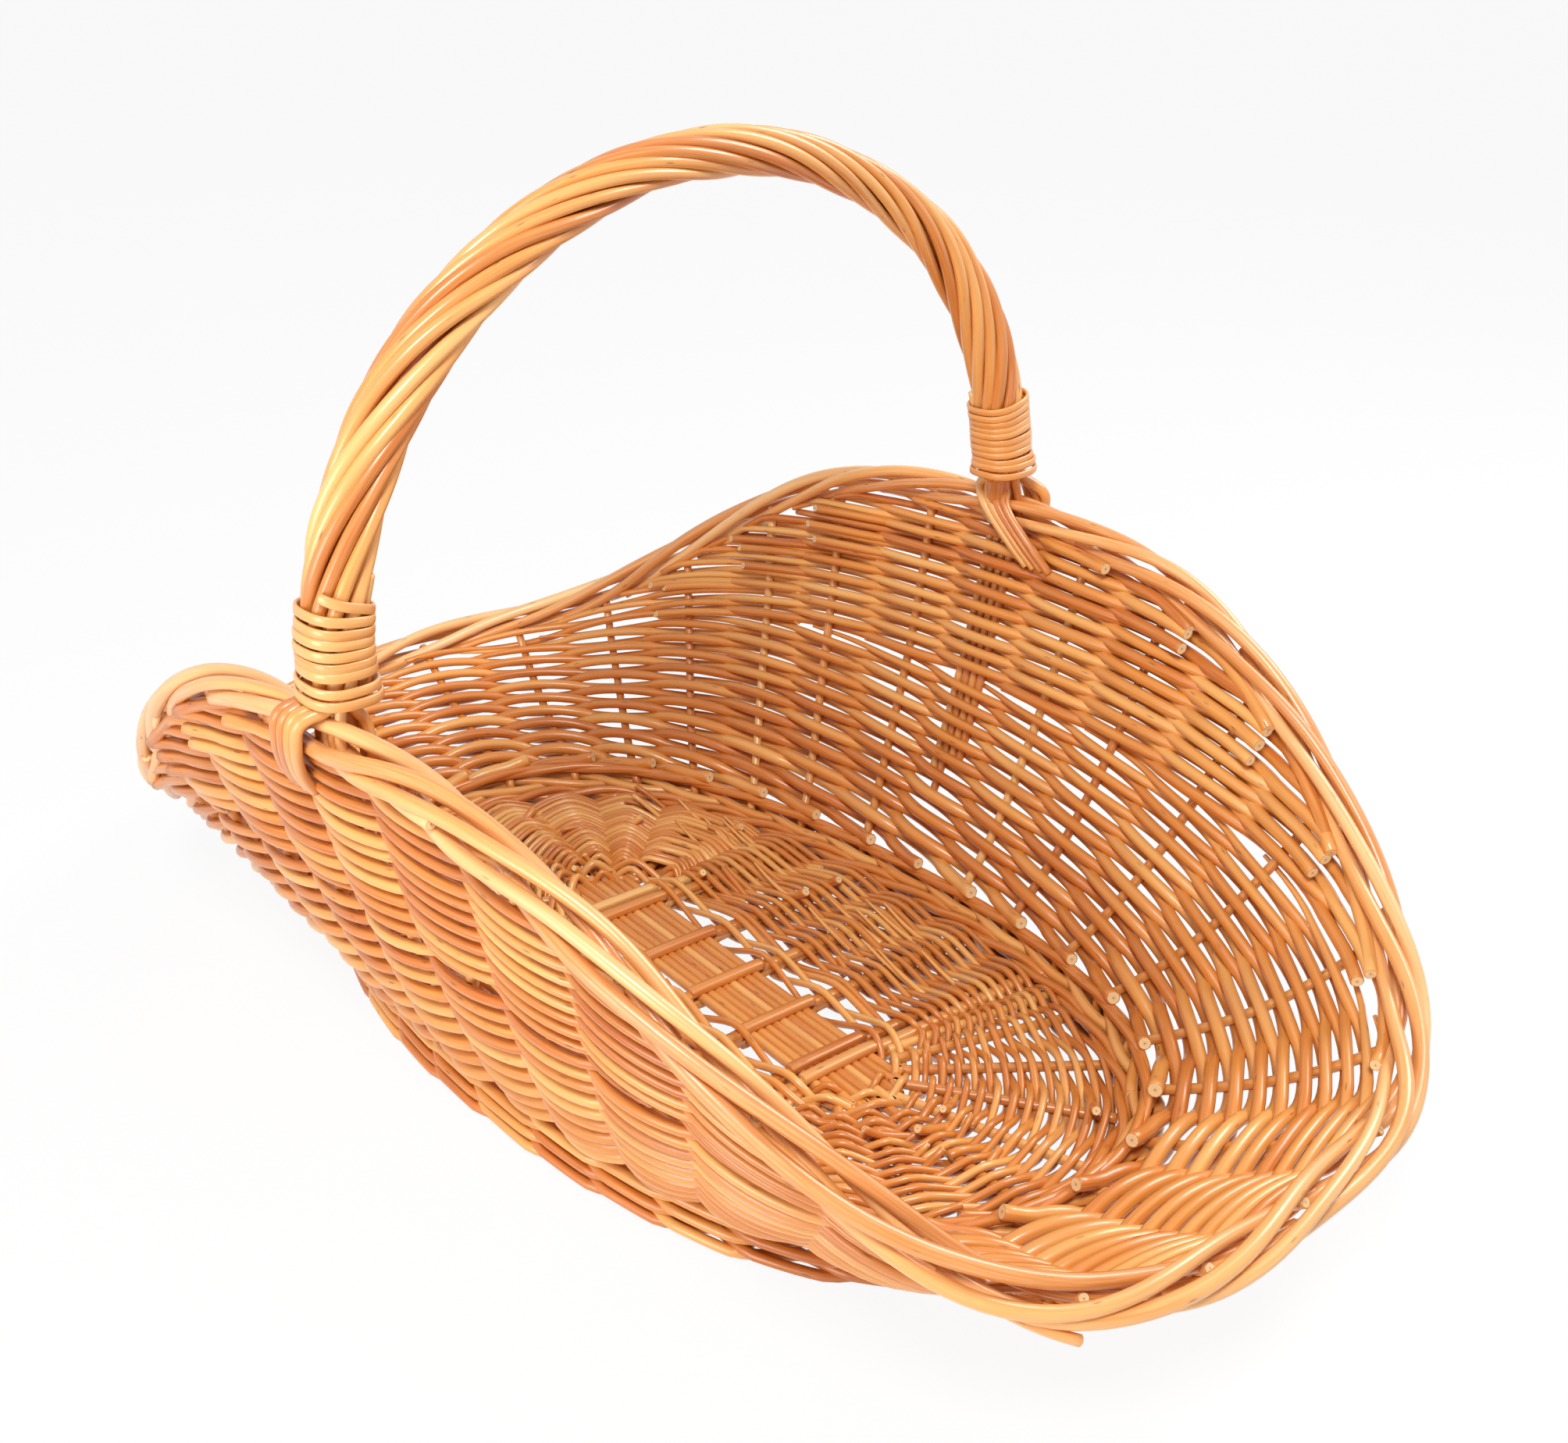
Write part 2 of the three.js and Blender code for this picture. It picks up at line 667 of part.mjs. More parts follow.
const spokes = [
  ...slathPlaces.map((_, i) => slathSpoke(i, 1)).slice(SLATH_STICKS / 2),
  ...crossPlaces.toReversed().map((x) => crossSpoke(x, 1)),
  ...slathPlaces.map((_, i) => slathSpoke(i, -1)).toReversed(),
  ...crossPlaces.map((x) => crossSpoke(x, -1)),
  ...slathPlaces.map((_, i) => slathSpoke(i, 1)).slice(0, SLATH_STICKS / 2),
];

// Neighbouring spokes are passed on alternate sides, and the two sticks of a pair on one side
function spokeSides() {
  const sides = [];
  let side = 1;
  spokes.forEach(({ outer }, i) => {
    const before = spokes[(i + spokes.length - 1) % spokes.length];
    const isPair = outer.distanceTo(before.outer) < 2 * CROSS_PAIR_PITCH;
    side = isPair || i === 0 ? side : -side;
    sides.push(side);
  });
  return sides;
}

function baseRing(ring) {
  const sides = spokeSides();
  const width = (1 - BASE_RING_START) / BASE_RINGS;
  const low = BASE_RING_START + ring * width;
  const high = low + width;
  const halfThickness = BASE_WEAVER_THICKNESS / 2;
  const edges = ({ inner, outer }) => [
    inner.clone().lerp(outer, low),
    inner.clone().lerp(outer, high - RING_GAP / inner.distanceTo(outer)),
  ];
  const stations = spokes.flatMap((spoke, i) => {
    const next = spokes[(i + 1) % spokes.length];
    const turn = ring % 2 === 0 ? 1 : -1;
    const offsetOf = (which, radius) => turn * sides[which] * (radius + CLEARANCE + halfThickness);
    const offset = offsetOf(i, spoke.radius);
    const nextOffset = offsetOf((i + 1) % spokes.length, next.radius);
    const ahead = spoke.outer.clone().sub(spoke.inner).normalize();
    const sideways = new THREE.Vector2(-ahead.y, ahead.x).multiplyScalar(spoke.radius);
    const ends = edges(spoke);
    const nextEnds = edges(next);
    const halfWay = ends.map((end, k) => end.clone().lerp(nextEnds[k], 0.5));
    return [
      { plan: ends.map((end) => end.clone().sub(sideways)), offset },
      { plan: ends.map((end) => end.clone().add(sideways)), offset },
      { plan: halfWay, offset: (offset + nextOffset) / 2 },
    ];
  });
  const rings = stations.map(({ plan, offset }) => {
    const height = BASE_HEIGHT + offset;
    return [
      flatPoint(plan[0], height - halfThickness),
      flatPoint(plan[1], height - halfThickness),
      flatPoint(plan[1], height + halfThickness),
      flatPoint(plan[0], height + halfThickness),
    ];
  });
  return loft(rings);
}

// Materials and assembly

const WILLOW_ROUGHNESS = 0.45;
const willow = (color) => (
  new THREE.MeshStandardMaterial({ color, roughness: WILLOW_ROUGHNESS, metalness: 0 })
);
const materials = {
  stick: willow(0xb9742f),
  weaver: willow(0xc98a45),
  border: willow(0xb06a2a),
  handle: willow(0xd9964a),
  skein: willow(0xe0a560),
};

const basket = new THREE.Group();
basket.position.x = LOW_END_REACH / 2;

function addPiece(name, geometry, material) {
  const mesh = new THREE.Mesh(geometry, material);
  mesh.name = name;
  basket.add(mesh);
}

slathPlaces.forEach((_, i) => addPiece(`slath_stick_${i + 1}`, slathStick(i), materials.stick));
crossPlaces.forEach((x, i) => addPiece(`cross_stick_${i + 1}`, crossStick(x), materials.stick));
for (let ring = 0; ring < BASE_RINGS; ring += 1) {
  addPiece(`base_weave_${ring + 1}`, baseRing(ring), materials.weaver);
}
addPiece('foot_wale', footWale(), materials.border);
uprights.filter(({ isLeg }) => !isLeg).forEach(({ share }, i) => {
  const number = String(i + 1).padStart(2, '0');
  addPiece(`side_stake_${number}`, sideStake(share), materials.stick);
});
for (let weaver = 0; weaver < SIDE_WEAVERS; weaver += 1) {
  addPiece(`side_weave_${weaver + 1}`, sideWeaver(weaver), materials.weaver);
}
addPiece('border_roll', border(), materials.border);
addPiece('handle_bow', handleBow(0), materials.handle);
addPiece('handle_strand_outer', handleStrand(1), materials.handle);
addPiece('handle_strand_inner', handleStrand(-1), materials.handle);

const lashings = { far: lashing(false), near: lashing(true) };
Object.entries(lashings).forEach(([name, { geometry, gap }]) => {
  addPiece(`handle_lashing_${name}`, geometry, materials.skein);
  console.log(`least gap between turns of the ${name} lashing: ${gap.toFixed(2)} mm`);
});

export default basket;
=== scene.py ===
"""Looks of the wicker firewood basket: its willow rods, their finish, the floor, the lights and the camera.

Metres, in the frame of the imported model: +X along the basket, +Y across it, +Z up, the floor at z = 0.
"""

import math

import bpy
import numpy as np
from mathutils import Matrix, Vector


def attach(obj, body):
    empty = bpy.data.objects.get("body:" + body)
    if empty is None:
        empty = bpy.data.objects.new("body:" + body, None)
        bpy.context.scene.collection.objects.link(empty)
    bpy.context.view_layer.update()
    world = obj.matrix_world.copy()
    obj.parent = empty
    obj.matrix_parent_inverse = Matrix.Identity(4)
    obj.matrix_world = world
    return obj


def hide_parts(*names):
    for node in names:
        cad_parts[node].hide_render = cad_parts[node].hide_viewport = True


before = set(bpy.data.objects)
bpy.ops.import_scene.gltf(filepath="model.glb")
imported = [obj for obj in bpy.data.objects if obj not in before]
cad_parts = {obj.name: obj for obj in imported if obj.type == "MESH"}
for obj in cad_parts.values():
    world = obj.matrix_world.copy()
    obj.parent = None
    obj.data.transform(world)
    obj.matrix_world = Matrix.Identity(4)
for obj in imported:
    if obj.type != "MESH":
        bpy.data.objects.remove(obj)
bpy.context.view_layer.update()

TURN = 2 * math.pi
UP = np.array([0.0, 0.0, 1.0])
LENGTHWISE = np.array([1.0, 0.0, 0.0])

# The wall: an oval foot, a rim that is low at the ends and high under the handle, and the bend between them
CENTRE_X = 0.007
RIM_HALF_LENGTH = 0.318
RIM_HALF_WIDTH = 0.195
RIM_SQUARENESS = 2.8
RIM_END_HEIGHT = 0.072
RIM_SIDE_HEIGHT = 0.208
RIM_SHOULDER_DIP = 0.030
LOW_SHOULDER_DIP = 0.042
LOW_END_DROP = 0.009
LOW_END_TWIST = 0.015
LOW_END_REACH = 0.014
LOW_END_SHARPNESS = 3
FOOT_HALF_LENGTH = 0.224
FOOT_HALF_WIDTH = 0.132
FOOT_SQUARENESS = 2.3
FOOT_HEIGHT = 0.022
WALL_BEND_OUT = 0.57
WALL_BEND_UP = 0.29
OVAL_SAMPLES = 1441
WALL_LEVELS = np.linspace(0, 1, 25)
NUDGE = 0.0005

# Rods in general
NEARLY_UPRIGHT = 0.9
WANDER_OCTAVES = (0.6, 1.0, 1.7)
BUTT_SWELL = 1.1
TIP_SHRINK = 0.85
PALE_TONE = 0.95

# Willow: grain per metre across and along a rod, and the varnish
STREAK_SCALE = (900, 900, 26)
STAIN_SCALE = (120, 120, 11)
SPECK_SCALE = (260, 260, 45)
SCAR_COLOUR = (92, 48, 18)
GRAIN_DEPTH = 0.0003
SPECULAR_LEVEL = 0.4
COAT_WEIGHT = 0.55
COAT_ROUGHNESS = 0.22
CUT_ROUGHNESS = 0.7

# Uprights and side weave
UPRIGHTS = 32
UPRIGHT_SCATTER = 0.05
LEG_PLACES = (8, 24)
STAKE_RADIUS = 0.0025
STAKE_TOP_RADIUS = 0.0023
STAKE_LEVELS = np.linspace(-0.93, 0.99, 26)
CROSSING_CLOSENESS = 0.82
LEG_SPREAD = 0.2
SIDE_ROWS = 20
FIRST_ROW = 0.004
ROW_PITCH = 0.0052
ROW_CLOSING = 0.21
WEAVER_BUTT_RADIUS = 0.0034
WEAVER_TOP_RADIUS = 0.0023
WEAVER_TIP_RADIUS = 0.0009
WEAVER_TIP_RUN = 1.5
WEAVER_LEAD = 0.34
WEAVER_BUTT_LIFT = 0.013
WEAVER_STEPS = 8
WAVE_FLATNESS = 0.75

# Packing: rods above the level rows, which build the wall up under the handle
PACKING_PITCH = 0.0039
PACKING_BUTT_RADIUS = 0.0031
PACKING_TIP_RADIUS = 0.0018
PACKING_TAPER = 1.6
PACKING_BUTT_LIFT = 0.012
CUT_END_STAKES = (10, 11, 12)
CUT_END_DROPS = (0.003, 0.011, 0.021)
CUT_END_SCATTER = 0.004
CUT_END_PAST = (0.20, 0.45)
CUT_END_LENGTH = 1.5
CUT_END_RADIUS = 0.0022
CUT_END_RISE = 0.0035
CUT_END_SLANT = 1.6

# Foot wale
WALE_COURSES = (0.0046, 0.0118, 0.0190)
WALE_RODS = 3
WALE_RADIUS = 0.0026
WALE_LIFT = 0.0014
WALE_BULGE = 0.0012
WALE_SHIFT = 0.25
WALE_STEPS = 7

# Paired rows inside the foot: how far out each lies, its height and its swing
PAIRING_COURSES = ((-0.0085, 0.0160, 0.0021), (-0.0050, 0.0238, 0.0009))
PAIRING_TONE = 0.2
PAIRING_RADIUS = 0.0023

# Border
BORDER_HALF_WIDTH = 0.010
BORDER_HALF_HEIGHT = 0.0075
BORDER_ROD_RADIUS = 0.0032
BORDER_TIP_RADIUS = 0.0024
BORDER_LAY = 4.2
BORDER_RUN = 4.9
BORDER_STEP = 0.1
BORDER_RISE = 0.0012
BORDER_SWELL = 1.04
BORDER_TAPER = 1.5
BORDER_STEM_RADIUS = 0.9 * STAKE_TOP_RADIUS
BORDER_STEM_LEVELS = np.array([0.84, 0.90, 0.955])
STRAY_PLACES = (29.3, 29.98)
STRAY_RADIUS = 0.0022
STRAY_DROP = 0.0045

# Base
BASE_HEIGHT = 0.012
SLATH_STICKS = 8
SLATH_RADIUS = 0.00245
SLATH_PITCH = 0.0049
SLATH_SKEW = math.radians(-5)
CROSS_RADIUS = 0.0033
CROSS_HALF_RADIUS = 0.92 * CROSS_RADIUS
CROSS_SPLIT = 0.0205
CROSS_TAPER = 0.010
CROSS_SPLIT_RISE = 0.0030
CROSS_FLATNESS = 0.8
CROSS_LIFTS = np.array([0.0008, 0.0010, 0.0034, 0.0037, 0.0034, 0.0010, 0.0008])
CROSS_REACHES = np.linspace(0.05, 0.14, 400)
CROSS_PLACES = (-0.086, -0.077, -0.034, 0.005, 0.044, 0.081, 0.090)
CROSS_GROUPS = ((0, 1), (2,), (3,), (4,), (5, 6))
FAN_START = 0.098
FAN_STAGGER = 0.004
FAN_PITCH = 0.039
BASE_INSET = 0.0108
BASE_ROWS = 29
BASE_INNER_ROWS = 4
BASE_ROD_RADIUS = 0.00175
BASE_PITCH = 0.0032
BASE_OPENING = 0.0026
BASE_OPEN_ROWS = 4
BASE_STEPS = 7
BASE_END_LIFT = 0.012
FIRST_ROW_SHIFT = 0.6
LAST_ROW_PART = 0.985
GROUP_SWELL = 1.25
CORNER_START = 0.08
LOW_END_PLACES = (8.4, 20.6)
LOW_END_SWELL = 1.55
BEND_SHARPNESS = 0.5
BASE_BUTTS = 20
BASE_BUTT_RADIUS = 0.0023
BASE_BUTT_PARTS = (0.05, 0.9)
BASE_BUTT_REACH = (0.018, 0.026)
BASE_BUTT_LIFTS = np.array([-0.002, 0.004, 0.0085])
BASE_TIPS = 14
BASE_TIP_X = (-0.11, 0.10)
BASE_TIP_Y = (0.060, 0.100)
BASE_TIP_LENGTH = (0.030, 0.044)
BASE_TIP_DRIFT = 0.002
BASE_TIP_LIFTS = np.array([0.001, 0.0055, 0.0100])
BASE_TIP_RADII = (0.0016, 0.0006)

# Handle
HANDLE_HALF_SPAN = 0.187
HANDLE_SPRING = 0.233
HANDLE_TOP = 0.410
HANDLE_LEAN = -0.007
NEAR_LEG_SWAY = np.array([-0.0020, -0.0015, 0.0])
SWAY_SHARPNESS = 6
HANDLE_FOOT = 0.2210
HANDLE_NUDGE = 0.004
CORE_RADIUS = 0.0058
ROPE_RODS = 10
ROPE_OUTER_RADIUS = 0.0118
ROPE_ROD_RADIUS = 0.00275
ROPE_TURNS = 2.7
ROPE_SLIMNESS = 0.86
ROPE_FULLNESS = 1.06
ROPE_SLIM_PLACE = 0.45
ROPE_SLIM_PART = 0.075
ROPE_SWELL_PART = 0.275
FAR_ROPE_INSET = 0.004
NEAR_ROPE_INSET = 0.002
FAR_LASHING_START = 0.0060
FAR_LASHING_TURNS = 11.0
FAR_LASHING_PITCH = 0.0034
NEAR_LASHING_TURNS = 8.5
NEAR_LASHING_PITCH = 0.0041
NEAR_LASHING_GAP = 0.0016
SKEIN_COVER = 0.49
SKEIN_HALF_THICKNESS = 0.0008
LASHING_SQUARENESS = 0.78
LASHING_STEPS = 28
LASHING_FLARE = 0.0016
FLARE_TURNS = 3
LASHING_LEAN = 0.0025
LEAN_TURNS = 5
LOOSE_PART = 0.34
LOOSE_CLIMB = 0.0046
LOOSE_END = math.radians(-18)
STUB_RADIUS = 0.0026
STUB_TONE = 0.9
STUB_PLACES = np.array([0.020, 0.032, 0.043, 0.051])
STUB_DEPTHS = np.array([0.003, 0.0024, 0.0010, 0.0006])
STUB_HEADINGS = ((1, 135), (-1, 225))
LEG_SHARES = {1: 0.25, -1: 0.75}
LEG_DEPTH = 0.014
LEG_RODS = 4
LEG_ROD_RADIUS = 0.0022
LEG_ROD_PITCH = 0.0048
LEG_ROD_LEVEL = 0.3
LEG_ROD_TOP = 0.02

# Tails of the rope at each foot: how many rods, their offset and drift along the wall, their reach down it
TAIL_RADIUS = 0.0024
TAIL_TIP_RADIUS = 0.9 * TAIL_RADIUS
TAIL_CLEARANCE = 0.0006
FAR_TAILS_OUTSIDE = (3, 0.005, 0.018, 0.026)
FAR_TAILS_INSIDE = (4, -0.006, 0.036, 0.024)
NEAR_TAILS_OUTSIDE = (4, -0.006, -0.018, 0.029)
NEAR_TAILS_INSIDE = (2, 0.002, 0.004, 0.022)

# Camera, as fitted to the photograph, in its frame of 2008 by 1848 pixels
CAMERA_PLACE = (0.579, -0.5085, 0.5217)
CAMERA_FORWARD = (-0.64938, 0.62328, -0.43569)
CAMERA_UP = (-0.32339, 0.29220, 0.90002)
PHOTO_WIDTH = 2008
FOCAL_PIXELS = 2403.7
SENSOR_WIDTH = 36.0

# Set
FLOOR_REACH = 12.0
FLOOR_COLOUR = (0.9, 0.9, 0.9, 1)
FLOOR_ROUGHNESS = 0.9
FLOOR_GLOW = 0.92
WORLD_LIGHT = 0.26


# Ovals and the wall

def signed_power(value, power):
    return np.sign(value) * np.abs(value) ** power


def unit(vectors):
    return vectors / np.linalg.norm(vectors, axis=-1, keepdims=True)


def blend(a, b, part):
    return a + (b - a) * part


def run_lengths(points):
    """How far along a path each of its points lies."""
    steps = np.linalg.norm(np.diff(points, axis=-2), axis=-1)
    return np.insert(np.cumsum(steps, axis=-1), 0, 0, axis=-1)


class Oval:
    """A superellipse measured by shares of its length, anticlockwise from the +X tip."""

    def __init__(self, half_length, half_width, squareness):
        self.half_length = half_length
        self.half_width = half_width
        self.squareness = squareness
        self.angles = np.linspace(0, TURN, OVAL_SAMPLES)
        runs = run_lengths(self.at_angle(self.angles))
        self.length = runs[-1]
        self.shares = runs / self.length

    def at_angle(self, angle):
        x = self.half_length * signed_power(np.cos(angle), 2 / self.squareness)
        y = self.half_width * signed_power(np.sin(angle), 2 / self.squareness)
        return np.stack([x, y], axis=-1)

    def angle(self, share):
        return np.interp(np.mod(share, 1), self.shares, self.angles)

    def at(self, share):
        return self.at_angle(self.angle(share))

    def reach(self, points):
        """How far out points lie: 1 on the oval."""
        x = np.abs(points[..., 0] / self.half_length) ** self.squareness
        y = np.abs(points[..., 1] / self.half_width) ** self.squareness
        return (x + y) ** (1 / self.squareness)


RIM = Oval(RIM_HALF_LENGTH, RIM_HALF_WIDTH, RIM_SQUARENESS)
FOOT = Oval(FOOT_HALF_LENGTH, FOOT_HALF_WIDTH, FOOT_SQUARENESS)
BASE = Oval(FOOT_HALF_LENGTH - BASE_INSET, FOOT_HALF_WIDTH - BASE_INSET, FOOT_SQUARENESS)


def rim_point(share):
    """The middle of the border. The -X end is lower, reaches further out and is twisted."""
    angle = RIM.angle(share)
    plan = RIM.at_angle(angle)
    toward_low_end = np.maximum(0, -np.cos(angle))
    low_end = toward_low_end ** LOW_END_SHARPNESS
    shoulder = np.sin(2 * angle)
    dip = np.where(np.cos(angle) > 0, RIM_SHOULDER_DIP, LOW_SHOULDER_DIP)
    height = RIM_END_HEIGHT + (RIM_SIDE_HEIGHT - RIM_END_HEIGHT) * np.sin(angle) ** 2
    height = height - dip * shoulder ** 2 - LOW_END_TWIST * toward_low_end * shoulder
    height = height - LOW_END_DROP * low_end
    return np.stack([plan[..., 0] - LOW_END_REACH * low_end, plan[..., 1], height], axis=-1)


def wall_point(share, level):
    """A point of the wall: level -1 is the floor, 0 the bend of the stakes and 1 the border's middle."""
    share, level = np.broadcast_arrays(share, level)
    foot = FOOT.at(share)
    start = np.stack([foot[..., 0], foot[..., 1], np.full(share.shape, FOOT_HEIGHT)], axis=-1)
    end = rim_point(share)
    middle = start + (end - start) * np.array([WALL_BEND_OUT, WALL_BEND_OUT, WALL_BEND_UP])
    part = np.maximum(level, 0)[..., None]
    point = (1 - part) ** 2 * start + 2 * part * (1 - part) * middle + part ** 2 * end
    point[..., 2] += np.minimum(level, 0) * FOOT_HEIGHT
    point[..., 0] += CENTRE_X
    return point


def wall_frame(share, level):
    point = wall_point(share, level)
    along = unit(wall_point(share + NUDGE, level) - wall_point(share - NUDGE, level))
    rise = unit(wall_point(share, level + NUDGE) - wall_point(share, level - NUDGE))
    out = unit(np.cross(along, rise))
    return point, rise, out


def beside_wall(share, level, depth):
    """A point of the wall moved outwards by a depth."""
    point, _, out = wall_frame(share, level)
    return point + out * depth[:, None]


def wall_runs(share):
    """How far it is up the wall, along its curve, from the bend to each of the wall levels."""
    return run_lengths(wall_point(np.atleast_1d(share)[:, None], WALL_LEVELS))


def level_at(share, distance):
    """The level at a distance up the wall, measured along its curve."""
    return np.array([np.interp(run, runs, WALL_LEVELS) for run, runs in zip(distance, wall_runs(share))])


def woven_top(share):
    """How far up the wall the border begins."""
    return wall_runs(share)[:, -1] - BORDER_HALF_HEIGHT


def randed_height(share, row):
    """How far up the wall a row of the randing lies. The rows close up as their rods thin."""
    part = row / SIDE_ROWS
    height = np.minimum(woven_top(share) - FIRST_ROW, SIDE_ROWS * ROW_PITCH)
    return FIRST_ROW + height * part * (1 + ROW_CLOSING * (1 - part))


# Rods

def transported(tangents):
    """Normals that turn as little as they can along a path."""
    helper = UP if abs(tangents[0][2]) < NEARLY_UPRIGHT else LENGTHWISE
    normal = np.cross(tangents[0], helper)
    normals = np.empty_like(tangents)
    for i, tangent in enumerate(tangents):
        normal = normal - tangent * normal.dot(tangent)
        normal = normal / np.linalg.norm(normal)
        normals[i] = normal
    return normals


def spline(a, b, c, d, t):
    """A smooth curve from b to c, which a comes before and d follows."""
    straight = 2 * b + (c - a) * t
    return 0.5 * (straight + (2 * a - 5 * b + 4 * c - d) * t ** 2 + (3 * b - a - 3 * c + d) * t ** 3)


def smooth_path(points, count):
    """A curve through all the points, evenly spaced by its parameter."""
    points = np.asarray(points, float)
    padded = np.vstack([2 * points[0] - points[1], points, 2 * points[-1] - points[-2]])
    place = np.linspace(0, len(points) - 1, count)
    index = np.minimum(place.astype(int), len(points) - 2)
    t = (place - index)[:, None]
    return spline(*(padded[index + k] for k in range(4)), t)


def wander(rng, place, size, pace):
    """A slow random swing of about the given size. The pace is the number of swings per unit of place."""
    total = np.zeros_like(place, dtype=float)
    for octave in WANDER_OCTAVES:
        total += np.sin(TURN * pace * octave * place + rng.uniform(0, TURN)) / len(WANDER_OCTAVES) ** 0.5
    return size * total


class Rods:
    """Gathers rods into one mesh. Each rod is a closed tube with a cut face at both ends."""

    BEVEL = 0.12
    CORNER_ROUNDNESS = 0.6
    GRAIN_SPREAD = 50

    def __init__(self, seed, sides):
        self.rng = np.random.default_rng(seed)
        self.angles = np.arange(sides) * TURN / sides
        self.points = []
        self.grain = []
        self.tone = []
        self.core = []
        self.faces = []
        self.cuts = []
        self.size = 0

    def add(self, points, radii, normals=None, flatness=1.0, tone=None, slant=None):
        """A rod along the points. A slant, given as a vector across the rod, tilts the cut at its end."""
        points = np.asarray(points, float)
        radii = np.broadcast_to(np.asarray(radii, float), len(points))
        tangents = unit(np.gradient(points, axis=0))
        if normals is None:
            normals = transported(tangents)
        bevel = radii[[0, -1]] * self.BEVEL
        first = points[0] - tangents[0] * bevel[0]
        last = points[-1] + tangents[-1] * bevel[1]
        points = np.vstack([first, points, last])
        radii = np.concatenate([[radii[0] - bevel[0]], radii, [radii[-1] - bevel[1]]])
        tangents = np.vstack([tangents[:1], tangents, tangents[-1:]])
        normals = np.vstack([normals[:1], normals, normals[-1:]])
        sideways = np.cross(tangents, normals)
        cosine, sine = np.cos(self.angles), np.sin(self.angles)
        if flatness < 1:
            cosine = signed_power(cosine, self.CORNER_ROUNDNESS)
            sine = signed_power(sine, self.CORNER_ROUNDNESS)
        spread = normals[:, None] * (cosine * flatness)[None, :, None]
        spread = spread + sideways[:, None] * sine[None, :, None]
        rings = points[:, None] + spread * radii[:, None, None]
        if slant is not None:
            lead = (rings[-2:] - points[-2:, None]) @ slant
            rings[-2:] += lead[..., None] * tangents[-1]
        self._store(points, radii, rings, tone)

    def _store(self, points, radii, rings, tone):
        count, sides = rings.shape[:2]
        along = run_lengths(points) + self.rng.uniform(0, self.GRAIN_SPREAD)
        grain = np.empty((count, sides, 3))
        grain[..., 0] = radii[:, None] * np.cos(self.angles)
        grain[..., 1] = radii[:, None] * np.sin(self.angles)
        grain[..., 2] = along[:, None]
        end_grain = np.array([[0, 0, along[0]], [0, 0, along[-1]]])
        self.points.append(np.vstack([rings.reshape(-1, 3), points[[0, -1]]]))
        self.grain.append(np.vstack([grain.reshape(-1, 3), end_grain]))
        value = self.rng.uniform() if tone is None else tone
        self.tone.append(np.full(count * sides + 2, value))
        self.core.append(np.concatenate([np.zeros(count * sides), [1, 1]]))
        base = self.size
        side = np.arange(sides)
        following = (side + 1) % sides
        row = base + np.arange(count - 1)[:, None] * sides
        quads = (row + side, row + following, row + sides + following, row + sides + side)
        self.faces.append(np.stack(quads, axis=-1).reshape(-1, 4))
        first, last = base + count * sides, base + count * sides + 1
        top = base + (count - 1) * sides
        self.cuts.append(np.stack([base + following, base + side, np.full(sides, first)], axis=-1))
        self.cuts.append(np.stack([top + side, top + following, np.full(sides, last)], axis=-1))
        self.size += count * sides + 2

    def build(self, name, slot, *nodes, finish=None):
        """The object in place of the nodes, with its slot's finish or another, and bare wood on the cuts."""
        faces = np.vstack(self.faces).tolist()
        cuts = np.vstack(self.cuts).tolist()
        mesh = bpy.data.meshes.new(name)
        mesh.from_pydata(np.vstack(self.points).tolist(), [], faces + cuts)
        for key, kind, field, values in (
            ("tone", "FLOAT", "value", np.concatenate(self.tone)),
            ("core", "FLOAT", "value", np.concatenate(self.core)),
            ("grain", "FLOAT_VECTOR", "vector", np.vstack(self.grain)),
        ):
            layer = mesh.attributes.new(key, kind, "POINT")
            layer.data.foreach_set(field, values.astype(np.float32).ravel())
        is_cut = np.concatenate([np.zeros(len(faces), bool), np.ones(len(cuts), bool)])
        mesh.polygons.foreach_set("use_smooth", ~is_cut)
        mesh.polygons.foreach_set("material_index", is_cut.astype(np.int32))
        mesh.materials.append(MATERIALS[finish or slot])
        mesh.materials.append(MATERIALS["cut"])
        mesh.update()
        piece = bpy.data.objects.new(name, mesh)
        bpy.context.scene.collection.objects.link(piece)
        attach(piece, "root")
        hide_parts(*nodes)


# Materials

def linear(red, green, blue):
    """A colour given as it looks on a screen, from 0 to 255, turned into light."""
    return tuple((channel / 255) ** 2.2 for channel in (red, green, blue)) + (1.0,)


def set_inputs(node, values):
    for key, value in values.items():
        node.inputs[key].default_value = value


